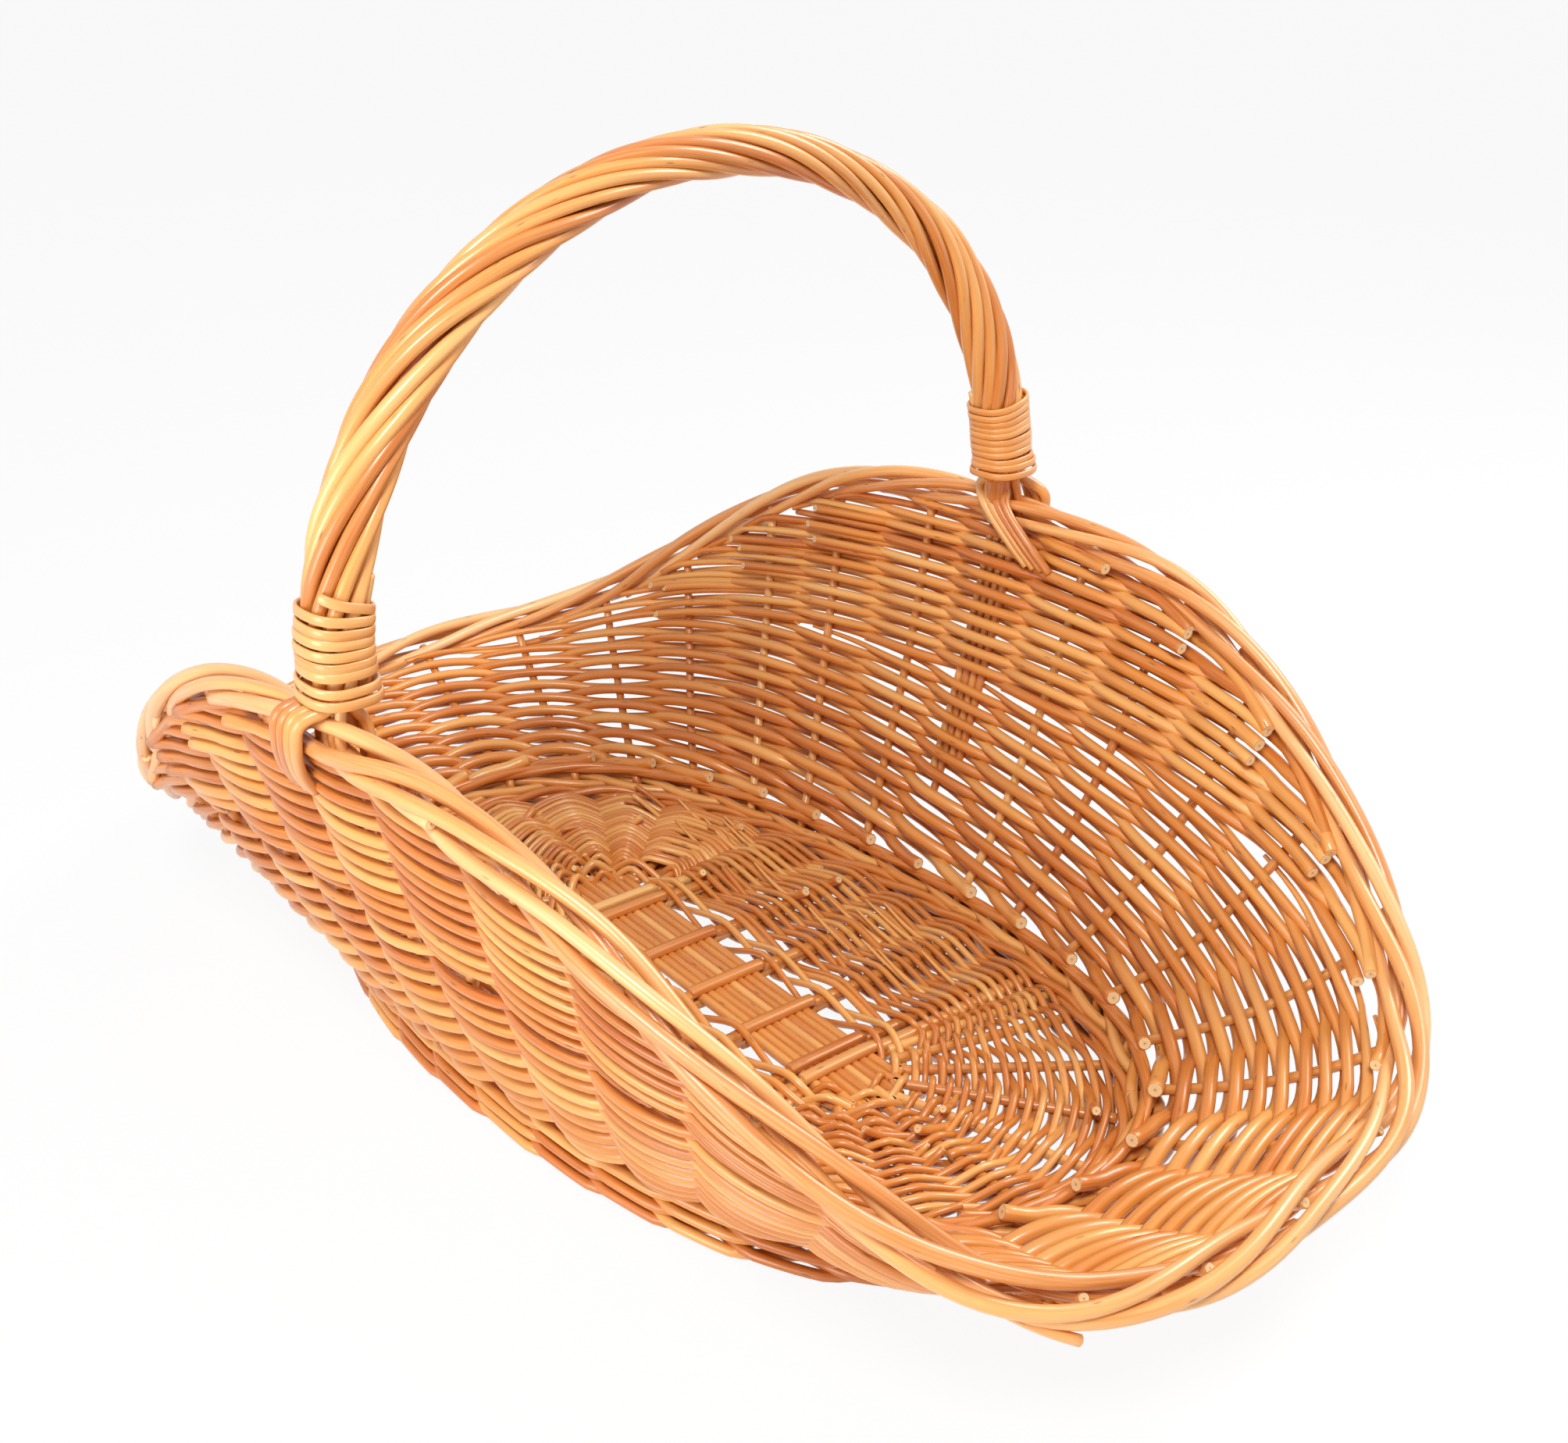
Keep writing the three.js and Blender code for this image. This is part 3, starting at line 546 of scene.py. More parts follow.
class Shader:
    """Short names for building one node material."""

    def __init__(self, name):
        self.material = bpy.data.materials.new(name)
        self.material.use_nodes = True
        self.nodes = self.material.node_tree.nodes
        self.link = self.material.node_tree.links.new
        self.surface = self.nodes["Principled BSDF"]

    def node(self, kind, **settings):
        made = self.nodes.new(kind)
        for key, value in settings.items():
            setattr(made, key, value)
        return made

    def attribute(self, name):
        return self.node("ShaderNodeAttribute", attribute_name=name)

    def scaled(self, vector, scale):
        made = self.node("ShaderNodeVectorMath", operation="MULTIPLY")
        self.link(vector, made.inputs[0])
        made.inputs[1].default_value = scale
        return made.outputs[0]

    def noise(self, vector, scale, detail=2.0, roughness=0.5):
        made = self.node("ShaderNodeTexNoise")
        self.link(vector, made.inputs["Vector"])
        set_inputs(made, {"Scale": scale, "Detail": detail, "Roughness": roughness})
        return made.outputs["Fac"]

    def ramp(self, value, *stops):
        made = self.node("ShaderNodeValToRGB")
        self.link(value, made.inputs["Fac"])
        elements = made.color_ramp.elements
        while len(elements) < len(stops):
            elements.new(0.5)
        for element, (place, colour) in zip(elements, stops):
            element.position = place
            element.color = linear(*colour)
        return made.outputs["Color"]

    def span(self, value, low, high, to_low, to_high):
        made = self.node("ShaderNodeMapRange")
        self.link(value, made.inputs["Value"])
        set_inputs(made, {"From Min": low, "From Max": high, "To Min": to_low, "To Max": to_high})
        return made.outputs["Result"]

    def mix(self, part, first, second):
        """The first colour, a node's, turning into the second, a plain one."""
        made = self.node("ShaderNodeMix", data_type="RGBA")
        start, end = (slot for slot in made.inputs if slot.type == "RGBA")
        self.link(part, made.inputs["Factor"])
        self.link(first, start)
        end.default_value = linear(*second)
        return [slot for slot in made.outputs if slot.type == "RGBA"][0]

    def bump(self, height, strength, distance):
        made = self.node("ShaderNodeBump")
        self.link(height, made.inputs["Height"])
        set_inputs(made, {"Strength": strength, "Distance": distance})
        self.link(made.outputs["Normal"], self.surface.inputs["Normal"])


def willow(name, dark, middle, light, gloss):
    """Varnished peeled willow: a tone for each rod, with long streaks, stains and small dark bud scars."""
    shader = Shader(name)
    grain = shader.attribute("grain").outputs["Vector"]
    tone = shader.attribute("tone").outputs["Fac"]
    streak = shader.noise(shader.scaled(grain, STREAK_SCALE), 1.0, 3.0, 0.6)
    stain = shader.noise(shader.scaled(grain, STAIN_SCALE), 1.0, 2.0)
    colour = shader.ramp(tone, (0.0, dark), (0.55, middle), (1.0, light))
    deeper = shader.mix(shader.span(stain, 0.45, 0.8, 0.0, 0.7), colour, dark)
    streaked = shader.mix(shader.span(streak, 0.35, 0.75, 0.0, 0.4), deeper, light)
    speck = shader.node("ShaderNodeTexVoronoi", feature="F1")
    shader.link(shader.scaled(grain, SPECK_SCALE), speck.inputs["Vector"])
    set_inputs(speck, {"Scale": 1.0})
    scar = shader.span(speck.outputs["Distance"], 0.04, 0.13, 0.6, 0.0)
    speckled = shader.mix(scar, streaked, SCAR_COLOUR)
    shader.link(speckled, shader.surface.inputs["Base Color"])
    roughness = shader.span(stain, 0.2, 0.8, gloss - 0.08, gloss + 0.12)
    shader.link(roughness, shader.surface.inputs["Roughness"])
    set_inputs(shader.surface, {
        "Specular IOR Level": SPECULAR_LEVEL,
        "Coat Weight": COAT_WEIGHT,
        "Coat Roughness": COAT_ROUGHNESS,
    })
    shader.bump(streak, 0.25, GRAIN_DEPTH)
    return shader.material


def cut_wood():
    """The face of a cut rod: pale wood round a darker pith, with a dark skin at the edge."""
    shader = Shader("cut_willow")
    core = shader.attribute("core").outputs["Fac"]
    grain = shader.attribute("grain").outputs["Vector"]
    fibre = shader.noise(grain, 1800.0, 3.0)
    wood = shader.ramp(
        core, (0.0, (200, 142, 82)), (0.14, (246, 220, 168)),
        (0.76, (240, 210, 156)), (0.90, (186, 138, 88)))
    colour = shader.mix(shader.span(fibre, 0.35, 0.7, 0.0, 0.25), wood, (176, 128, 78))
    shader.link(colour, shader.surface.inputs["Base Color"])
    set_inputs(shader.surface, {"Roughness": CUT_ROUGHNESS})
    shader.bump(fibre, 0.3, GRAIN_DEPTH)
    return shader.material


MATERIALS = {"cut": cut_wood()}
for slot, *look in (
    ("weavers", (188, 96, 30), (216, 132, 54), (236, 176, 100), 0.38),
    ("stakes", (186, 96, 34), (216, 138, 62), (238, 184, 112), 0.38),
    # The border is the stakes turned over, but its colours are paler and creamier than theirs: painted sheen
    # and highlight for the light on the rim's top.
    ("border", (204, 118, 50), (232, 162, 90), (248, 208, 150), 0.36),
    ("handle", (190, 98, 32), (220, 142, 66), (240, 188, 120), 0.34),
    ("skein", (190, 100, 36), (220, 140, 66), (240, 186, 118), 0.32),
):
    MATERIALS[slot] = willow(f"willow_{slot}", *look)


# The side: stakes, weave, foot and border

upright_rng = np.random.default_rng(11)
upright_places = np.arange(-UPRIGHTS, 2 * UPRIGHTS + 1)
upright_jitter = np.tile(upright_rng.normal(0, UPRIGHT_SCATTER, UPRIGHTS), 4)[: len(upright_places)]


def share_at(place):
    """The share of the wall's length at a place counted in uprights."""
    return np.interp(place, upright_places, upright_places + upright_jitter) / UPRIGHTS


def crossing_depth(place, rod_radius):
    """How far from the wall's middle a rod lies where it passes an upright. The handle's legs are wider."""
    near_leg = np.zeros_like(place)
    for leg in LEG_PLACES:
        gap = np.mod(place - leg + UPRIGHTS / 2, UPRIGHTS) - UPRIGHTS / 2
        near_leg = np.maximum(near_leg, 1 - np.minimum(np.abs(gap), 1))
    return (STAKE_RADIUS + rod_radius) * (CROSSING_CLOSENESS + LEG_SPREAD * near_leg)


def weave_wave(place):
    """In and out by turns at the uprights: 1 at the even ones and -1 at the odd ones."""
    return signed_power(np.cos(math.pi * place), WAVE_FLATNESS)


def side_stakes():
    places = [place for place in range(UPRIGHTS) if place not in LEG_PLACES]
    for number, place in enumerate(places, 1):
        rods = Rods(100 + place, 10)
        share = share_at(place) + wander(rods.rng, STAKE_LEVELS, 0.0004, 0.8)
        depth = wander(rods.rng, STAKE_LEVELS, 0.0004, 0.9)
        radii = np.linspace(STAKE_RADIUS, STAKE_TOP_RADIUS, len(STAKE_LEVELS))
        rods.add(beside_wall(share, STAKE_LEVELS, depth), radii)
        node = f"side_stake_{number:02d}"
        rods.build(f"{node}_rod", "stakes", node)


def randed_rod(rods, start):
    """French randing: a rod starts at each upright, passes in and out, and climbs a row at each."""
    span = SIDE_ROWS - 0.5 + rods.rng.uniform(-0.4, 0.3)
    place = np.arange(-WEAVER_LEAD, span, 1 / WEAVER_STEPS)
    part = np.clip(place / SIDE_ROWS, 0, 1)
    butt = WEAVER_BUTT_RADIUS * rods.rng.uniform(0.92, 1.08)
    radii = blend(butt, WEAVER_TOP_RADIUS, part)
    radii = blend(WEAVER_TIP_RADIUS, radii, np.clip((span - place) / WEAVER_TIP_RUN, 0, 1))
    share = share_at(start + place)
    height = randed_height(share, np.maximum(place, -0.1) + 0.5) + wander(rods.rng, place, 0.0004, 0.21)
    swing = np.where(place < 0, -1.0, -weave_wave(place))
    depth = swing * crossing_depth(start + place, radii) + wander(rods.rng, place, 0.0003, 0.3)
    depth -= np.maximum(-place, 0) * WEAVER_BUTT_LIFT
    rods.add(beside_wall(share, level_at(share, height), depth), radii)


def packing_rod(rods, leg, row, butt_side):
    """A level rod above the randing, from shoulder to shoulder of the rim, its butt on the side given."""
    height = FIRST_ROW + SIDE_ROWS * ROW_PITCH + (row + 0.5) * PACKING_PITCH
    around = np.arange(leg - UPRIGHTS / 4, leg + UPRIGHTS / 4, 1 / WEAVER_STEPS)
    fits = around[woven_top(share_at(around)) > height]
    start = math.floor(fits[0])
    if (start + row) % 2 == (1 if butt_side > 0 else 0):
        start += 1
    end = max(fits[-1] + rods.rng.uniform(-0.2, 0.8), start + 1)
    place = np.arange(start - WEAVER_LEAD, end, 1 / WEAVER_STEPS)
    part = np.linspace(0, 1, len(place))
    butt = PACKING_BUTT_RADIUS * rods.rng.uniform(0.9, 1.1)
    radii = blend(butt, PACKING_TIP_RADIUS, part ** PACKING_TAPER)
    share = share_at(place)
    height = np.minimum(height + wander(rods.rng, place, 0.0005, 0.21), woven_top(share))
    swing = np.where(place < start, butt_side, weave_wave(place + row))
    lift = np.maximum(start - place, 0) * PACKING_BUTT_LIFT
    depth = swing * crossing_depth(place, radii) + butt_side * lift
    rods.add(beside_wall(share, level_at(share, height), depth), radii)


def cut_end(rods, stake, drop):
    """The slanting cut end of a rod that runs out under the border, inside the far wall."""
    place = np.linspace(stake - CUT_END_LENGTH, stake + rods.rng.uniform(*CUT_END_PAST), 15)
    share = share_at(place)
    height = np.full(len(place), woven_top(share[-1:])[0] - drop)
    swing = np.where(place > stake, -1.0, -weave_wave(place - stake))
    depth = swing * crossing_depth(place, CUT_END_RADIUS) - np.linspace(0, CUT_END_RISE, len(place))
    point, _, out = wall_frame(share, level_at(share, height))
    rods.add(point + out * depth[:, None], CUT_END_RADIUS, slant=out[-1] * CUT_END_SLANT)


def side_weave():
    rods = Rods(3, 10)
    for start in range(UPRIGHTS):
        randed_rod(rods, start)
    for leg, butt_side in zip(LEG_PLACES, (-1, 1)):
        room = woven_top(share_at(leg))[0] - FIRST_ROW - SIDE_ROWS * ROW_PITCH
        for row in range(int(room / PACKING_PITCH)):
            packing_rod(rods, leg, row, butt_side)
    for stake in CUT_END_STAKES:
        for drop in CUT_END_DROPS:
            cut_end(rods, stake, drop + rods.rng.uniform(0, CUT_END_SCATTER))
    nodes = [f"side_weave_{row}" for row in range(1, 7)]
    rods.build("side_weave_rods", "weavers", *nodes)


def pairing_rod(rods, inset, height, swing, rod):
    """One of two rods that twist round each other inside the foot, where the base meets the wall."""
    place = np.arange(0, UPRIGHTS + 0.9, 1 / WALE_STEPS) + 5 * rod
    phase = math.pi * (place + rod)
    depth = inset + swing * np.cos(phase) + wander(rods.rng, place, 0.0003, 0.2)
    above_bend = height + swing * np.sin(phase) - FOOT_HEIGHT
    share = share_at(place)
    level = np.where(above_bend < 0, above_bend / FOOT_HEIGHT, level_at(share, above_bend))
    rods.add(beside_wall(share, level, depth), PAIRING_RADIUS, tone=PAIRING_TONE)


def foot_wale():
    """Courses of three rods, each outside two stakes and inside the third, and the paired rows inside."""
    rods = Rods(5, 10)
    for course, height in enumerate(WALE_COURSES):
        for rod in range(WALE_RODS):
            place = np.arange(0, UPRIGHTS + 1.2, 1 / WALE_STEPS) + rod + course * 0.5
            phase = TURN * (place + rod) / WALE_RODS
            reach = (STAKE_RADIUS + WALE_RADIUS) / (1 - WALE_SHIFT)
            depth = np.minimum(reach * (WALE_SHIFT - np.cos(phase)), STAKE_RADIUS + WALE_RADIUS + WALE_BULGE)
            depth = depth + wander(rods.rng, place, 0.0003, 0.2)
            lift = WALE_LIFT * np.sin(phase) + wander(rods.rng, place, 0.0002, 0.2)
            level = (height + lift) / FOOT_HEIGHT - 1
            radii = blend(WALE_RADIUS * BUTT_SWELL, WALE_RADIUS * TIP_SHRINK, np.linspace(0, 1, len(place)))
            rods.add(beside_wall(share_at(place), level, depth), radii)
    for inset, height, swing in PAIRING_COURSES:
        for rod in (0, 1):
            pairing_rod(rods, inset, height, swing, rod)
    rods.build("foot_wale_rods", "border", "foot_wale", finish="weavers")


def border_roll():
    """The stakes turn over at the rim and roll round each other, out, over the top and in again."""
    rods = Rods(9, 12)
    across = BORDER_HALF_WIDTH - BORDER_ROD_RADIUS
    upward = BORDER_HALF_HEIGHT - BORDER_ROD_RADIUS + BORDER_RISE
    for start in range(UPRIGHTS):
        run = BORDER_RUN + rods.rng.uniform(-0.5, 0.6)
        place = np.arange(0, run, BORDER_STEP)
        turn = TURN * (place / BORDER_LAY - 0.25) + wander(rods.rng, place, 0.24, 0.2)
        swell = BORDER_SWELL + wander(rods.rng, place, 0.13, 0.3)
        share = share_at(start + place)
        point, rise, out = wall_frame(share, np.ones_like(place))
        point = point + out * (across * swell * np.cos(turn))[:, None]
        point = point + rise * (upward * swell * np.sin(turn))[:, None]
        stem = wall_point(share_at(start), BORDER_STEM_LEVELS)
        radii = blend(BORDER_ROD_RADIUS, BORDER_TIP_RADIUS, (place / run) ** BORDER_TAPER)
        radii = radii * rods.rng.uniform(0.92, 1.12)
        from_stem = len(stem)
        stem_radii = np.full(from_stem, BORDER_STEM_RADIUS)
        rods.add(np.vstack([stem, point[from_stem:]]), np.concatenate([stem_radii, radii[from_stem:]]))
    stray_end(rods)
    rods.build("border_roll_rods", "border", "border_roll")


def stray_end(rods):
    """The end of one border rod that has slipped out under the rim, near the +X end."""
    place = np.linspace(*STRAY_PLACES, 12)
    point, rise, out = wall_frame(share_at(place), np.ones_like(place))
    depth = np.linspace(0.4 * BORDER_HALF_WIDTH, 1.3 * BORDER_HALF_WIDTH, 12)
    rods.add(point + out * depth[:, None] - rise * STRAY_DROP, STRAY_RADIUS)


# The base

def base_spokes():
    """The two spokes of each base stick: a start by the slath and an end inside the foot."""
    cosine, sine = math.cos(SLATH_SKEW), math.sin(SLATH_SKEW)
    spin = np.array([[cosine, -sine], [sine, cosine]])
    middle = (SLATH_STICKS - 1) / 2
    slath = []
    for i in range(SLATH_STICKS):
        ends = []
        for end in (-1, 1):
            rank = middle - abs(i - middle)
            inner = spin @ np.array([end * (FAN_START + rank * FAN_STAGGER), (i - middle) * SLATH_PITCH])
            outer = BASE.at((i - middle) * FAN_PITCH / BASE.length) * np.array([end, 1])
            ends.append((inner, outer))
        slath.append(ends)
    cross = []
    for x in CROSS_PLACES:
        ends = []
        for side in (-1, 1):
            line = np.stack([np.full(len(CROSS_REACHES), x), side * CROSS_REACHES], axis=-1) @ spin.T
            outer = line[BASE.reach(line) <= 1][-1]
            inner = spin @ np.array([x, side * CROSS_SPLIT])
            ends.append((inner, outer))
        cross.append(ends)
    return slath, cross


def in_base(plan, height):
    plan = np.asarray(plan, float)
    height = np.broadcast_to(height, len(plan))
    return np.column_stack([plan[:, 0] + CENTRE_X, plan[:, 1], height])


def base_sticks(slath, cross):
    for i, ((left, left_end), (right, right_end)) in enumerate(slath):
        rods = Rods(200 + i, 10)
        plan = np.vstack([
            blend(left_end, left, np.linspace(0, 0.92, 6)[:, None]), left * 0.97, right * 0.97,
            blend(right, right_end, np.linspace(0.08, 1, 6)[:, None])])
        path = smooth_path(in_base(plan, BASE_HEIGHT), 90)
        rods.add(path, SLATH_RADIUS)
        rods.build(f"slath_stick_{i + 1}_rod", "stakes", f"slath_stick_{i + 1}")
    for i, ((near, near_end), (far, far_end)) in enumerate(cross):
        rods = Rods(230 + i, 10)
        axis = unit(far_end - near_end)
        centre = (near + far) / 2
        taper = axis * CROSS_TAPER
        half = [near_end, near - taper, near, centre, far, far + taper, far_end]
        for side in (-1, 1):
            path = smooth_path(in_base(half, BASE_HEIGHT + side * CROSS_LIFTS), 60)
            rods.add(path, CROSS_HALF_RADIUS, normals=np.tile(UP, (len(path), 1)), flatness=CROSS_FLATNESS)
        rods.build(f"cross_stick_{i + 1}_rod", "stakes", f"cross_stick_{i + 1}")


def merged_spokes(sticks, end, radius, groups):
    """One end of the sticks, with each group that a weaver passes together as one spoke."""
    spokes = []
    for group in groups:
        inner, outer = zip(*(sticks[k][end] for k in group))
        swell = GROUP_SWELL if len(group) > 1 else 1.0
        spokes.append((np.mean(inner, axis=0), np.mean(outer, axis=0), radius * swell))
    return spokes


def corner_spoke(before, after):
    """The short stick put in at a corner, between the last long stick and the first cross stick."""
    inner = (before[0] + after[0]) / 2
    outer = (before[1] + after[1]) / 2
    outer = outer / BASE.reach(outer)
    return blend(inner, outer, CORNER_START), outer, SLATH_RADIUS


def base_sides(slath, cross, grouped):
    """The spokes of the +X end, the far side, the -X end and the near side, anticlockwise."""
    step = 2 if grouped else 1
    slath_groups = [range(i, i + step) for i in range(0, SLATH_STICKS, step)]
    right = merged_spokes(slath, 1, SLATH_RADIUS, slath_groups)
    far = merged_spokes(cross, 1, CROSS_RADIUS, CROSS_GROUPS)[::-1]
    left = merged_spokes(slath, 0, SLATH_RADIUS, slath_groups)[::-1]
    near = merged_spokes(cross, 0, CROSS_RADIUS, CROSS_GROUPS)
    return right, far, left, near


def base_corners(right, far, left, near):
    pairs = ((right[-1], far[0]), (far[-1], left[0]), (left[-1], near[0]), (near[-1], right[0]))
    return [corner_spoke(before, after) for before, after in pairs]


def base_crossings(slath, cross, grouped):
    """The spokes in order round the base, from the middle of the +X end."""
    right, far, left, near = base_sides(slath, cross, grouped)
    half = len(right) // 2
    if grouped:
        return [*right[half:], *far, *left, *near, *right[:half]]
    first, second, third, fourth = base_corners(right, far, left, near)
    return [*right[half:], first, *far, second, *left, third, *near, fourth, *right[:half]]


def row_parts():
    """How far out along the spokes each row lies: open beside the slath and close further out."""
    rows = np.arange(BASE_ROWS)
    place = np.cumsum(BASE_PITCH + BASE_OPENING * np.exp(-rows / BASE_OPEN_ROWS))
    start = FIRST_ROW_SHIFT * place[0]
    return (place - start) / (place[-1] - start) * LAST_ROW_PART


def row_sides(spokes, row, low_end_row):
    """Over (1) or under (-1) at each spoke. The -X end has more rows, so it counts them for itself."""
    index = np.arange(len(spokes))
    at_low_end = np.array([inner[0] < -FAN_START * 0.95 for inner, _, _ in spokes])
    sides = np.where((index + np.where(at_low_end, low_end_row, row)) % 2 == 0, 1.0, -1.0)
    return sides * np.where(at_low_end, LOW_END_SWELL, 1.0)


def base_rod(rods, spokes, part, sides, place, tone=None):
    """A weaver at one part of the spokes' length, over or under each of them by turns."""
    count = len(spokes)
    inner, outer, radius = (np.array(column) for column in zip(*spokes))
    at_spokes = blend(inner, outer, part)
    reach = np.linalg.norm(at_spokes - inner, axis=1)
    is_cross = radius >= CROSS_RADIUS
    split_rise = is_cross * CROSS_SPLIT_RISE * np.clip(1 - reach / CROSS_TAPER, 0, 1)
    heights = (radius + BASE_ROD_RADIUS + split_rise) * sides
    index = np.mod(np.floor(place).astype(int), count)
    t = np.mod(place, 1)[:, None]
    wrapped = np.concatenate([at_spokes[-1:], at_spokes, at_spokes[:3]])
    plan = spline(*(wrapped[index + k] for k in range(4)), t)
    plan = plan + unit(plan) * wander(rods.rng, place, 0.0005, 0.15)[:, None]
    passage = blend(0.5 - 0.5 * np.cos(math.pi * t[:, 0]), t[:, 0], BEND_SHARPNESS)
    wave = blend(heights[index], heights[(index + 1) % count], passage)
    rise = np.maximum(place - (place[-1] - 0.5), 0) * BASE_END_LIFT
    size = BASE_ROD_RADIUS * rods.rng.uniform(0.92, 1.12)
    radii = blend(size * BUTT_SWELL, size * TIP_SHRINK, np.linspace(0, 1, len(place)))
    rods.add(in_base(plan, BASE_HEIGHT + wave + rise), radii, tone=tone)


def base_rows(rods, slath, cross):
    """Rows right round the base, and extra rods at the -X end after every second row, in paler tones as
    painted highlight for the light on that end.
    """
    parts = row_parts()
    low_end_row = 0
    for row, part in enumerate(parts):
        spokes = base_crossings(slath, cross, row < BASE_INNER_ROWS)
        start = rods.rng.uniform(0, len(spokes))
        place = np.arange(start, start + len(spokes) + rods.rng.uniform(-0.3, 0.9), 1 / BASE_STEPS)
        base_rod(rods, spokes, part, row_sides(spokes, row, low_end_row), place)
        low_end_row += 1
        if row >= BASE_INNER_ROWS and row % 2 == 0 and row + 1 < BASE_ROWS:
            low, high = np.array(LOW_END_PLACES) + rods.rng.uniform(-0.3, 0.3, 2)
            between = (part + parts[row + 1]) / 2
            sides = row_sides(spokes, row, low_end_row)
            place = np.arange(low, high, 1 / BASE_STEPS)
            # Paler tones for these extra rods: painted highlight where light falls on the -X end.
            base_rod(rods, spokes, between, sides, place, rods.rng.uniform(0.6, 1))
            low_end_row += 1


def base_tip(rods):
    """The thin end of a weaver, standing a little proud of the weave towards the far edge."""
    x = rods.rng.uniform(*BASE_TIP_X)
    y = rods.rng.uniform(*BASE_TIP_Y)
    length = rods.rng.uniform(*BASE_TIP_LENGTH)
    plan = [(x, y), (x - length / 2, y), (x - length, y + BASE_TIP_DRIFT)]
    path = smooth_path(in_base(plan, BASE_HEIGHT + BASE_TIP_LIFTS), 10)
    rods.add(path, np.linspace(*BASE_TIP_RADII, len(path)), tone=PALE_TONE)


def base_butt(rods, slath, cross):
    """The thick cut end of a base weaver, poking up beside a spoke."""
    spokes = base_crossings(slath, cross, False)
    index = rods.rng.integers(len(spokes))
    inner, outer, _ = spokes[index]
    next_inner, next_outer, _ = spokes[(index + 1) % len(spokes)]
    part = rods.rng.uniform(*BASE_BUTT_PARTS)
    start = blend(inner, outer, part)
    end = blend(start, blend(next_inner, next_outer, part), 0.5)
    heading = -unit(end - start) * rods.rng.uniform(*BASE_BUTT_REACH)
    height = BASE_HEIGHT + (BASE_BUTT_LIFTS + np.array([0, 0, rods.rng.uniform(0, 0.002)]))
    path = smooth_path(in_base([start - heading, start, start + heading * 0.4], height), 12)
    rods.add(path, BASE_BUTT_RADIUS * rods.rng.uniform(0.8, 1.1))


def base_weave(slath, cross):
    """Thin rods randed over and under the spokes, their ends, and the sticks at the corners."""
    rods = Rods(15, 8)
    base_rows(rods, slath, cross)
    for _ in range(BASE_BUTTS):
        base_butt(rods, slath, cross)
    for _ in range(BASE_TIPS):
        base_tip(rods)
    for inner, outer, radius in base_corners(*base_sides(slath, cross, False)):
        rods.add(in_base(blend(inner, outer, np.linspace(0, 1, 8)[:, None]), BASE_HEIGHT), radius)
    rods.build("base_weave_rods", "weavers", "base_weave_1", "base_weave_2")


# The handle

def leg_top(foot):
    """Where a leg of the handle leaves the border: the far foot is 1 and the near one -1."""
    place = np.array([CENTRE_X, foot * HANDLE_HALF_SPAN, HANDLE_FOOT])
    return place if foot > 0 else place + NEAR_LEG_SWAY


def handle_line():
    """The middle line of the roped handle, from the far foot to the near one, and its running length."""
    angle = np.linspace(math.pi / 2, -math.pi / 2, 181)
    rise = HANDLE_TOP - ROPE_OUTER_RADIUS * ROPE_SLIMNESS - HANDLE_SPRING
    arch = np.column_stack([
        CENTRE_X + HANDLE_LEAN * np.cos(angle),
        HANDLE_HALF_SPAN * np.sin(angle),
        HANDLE_SPRING + rise * np.cos(angle)])
    arch += np.outer(np.maximum(-np.sin(angle), 0) ** SWAY_SHARPNESS, NEAR_LEG_SWAY)
    line = np.vstack([leg_top(1), arch, leg_top(-1)])
    return line, run_lengths(line)


HANDLE_LINE, HANDLE_LENGTHS = handle_line()
HANDLE_LENGTH = HANDLE_LENGTHS[-1]


def handle_point(distance):
    return np.column_stack([np.interp(distance, HANDLE_LENGTHS, HANDLE_LINE[:, k]) for k in range(3)])


def handle_frame(distance):
    tangent = unit(handle_point(distance + HANDLE_NUDGE) - handle_point(distance - HANDLE_NUDGE))
    out = unit(np.cross(tangent, LENGTHWISE))
    return handle_point(distance), out, np.cross(tangent, out)


def ease(part):
    """0 up to 0, 1 from 1 on, and a smooth rise between."""
    part = np.clip(part, 0, 1)
    return part * part * (3 - 2 * part)


def rope_fullness(share):
    """How thick the rope is along the handle: slim near the middle and full in the legs."""
    from_slim = np.abs(share - ROPE_SLIM_PLACE)
    return blend(ROPE_SLIMNESS, ROPE_FULLNESS, ease((from_slim - ROPE_SLIM_PART) / ROPE_SWELL_PART))


def tail_path(foot, outside, offset, drift, reach):
    """The end of a rope rod from the lashing over the border and down the wall, drifting along it."""
    side = 1 if outside else -1
    point, rise, out = wall_frame(LEG_SHARES[foot], 1.0)
    over = BORDER_HALF_WIDTH + TAIL_RADIUS + TAIL_CLEARANCE
    steps = (
        (0.05, over * 0.75, BORDER_HALF_HEIGHT + 0.004),
        (0.22, over, 0.0015),
        (0.65, over * 0.85, -0.5 * reach),
        (1.0, over * 0.45, -reach),
    )
    path = []
    for part, depth, height in steps:
        place = point + out * side * depth + rise * height
        path.append(place + LENGTHWISE * (offset + drift * part))
    return path


def rope_tails(angles, foot, outside_tails, inside_tails):
    """Which rods leave a foot outside or inside: their paths by rod."""
    outward = np.argsort(-np.cos(angles))
    count, *lay = outside_tails
    inside_count, *inside_lay = inside_tails
    groups = ((outward[:count], True, *lay), (outward[-inside_count:], False, *inside_lay))
    tails = {}
    for chosen, outside, offset, drift, reach in groups:
        lateral = np.argsort(np.sin(angles[chosen]) * (1 if foot > 0 else -1))
        for order, index in enumerate(lateral):
            rank = order - (len(chosen) - 1) / 2
            tails[chosen[index]] = tail_path(foot, outside, offset + rank * 2 * TAIL_RADIUS, drift, reach)
    return tails


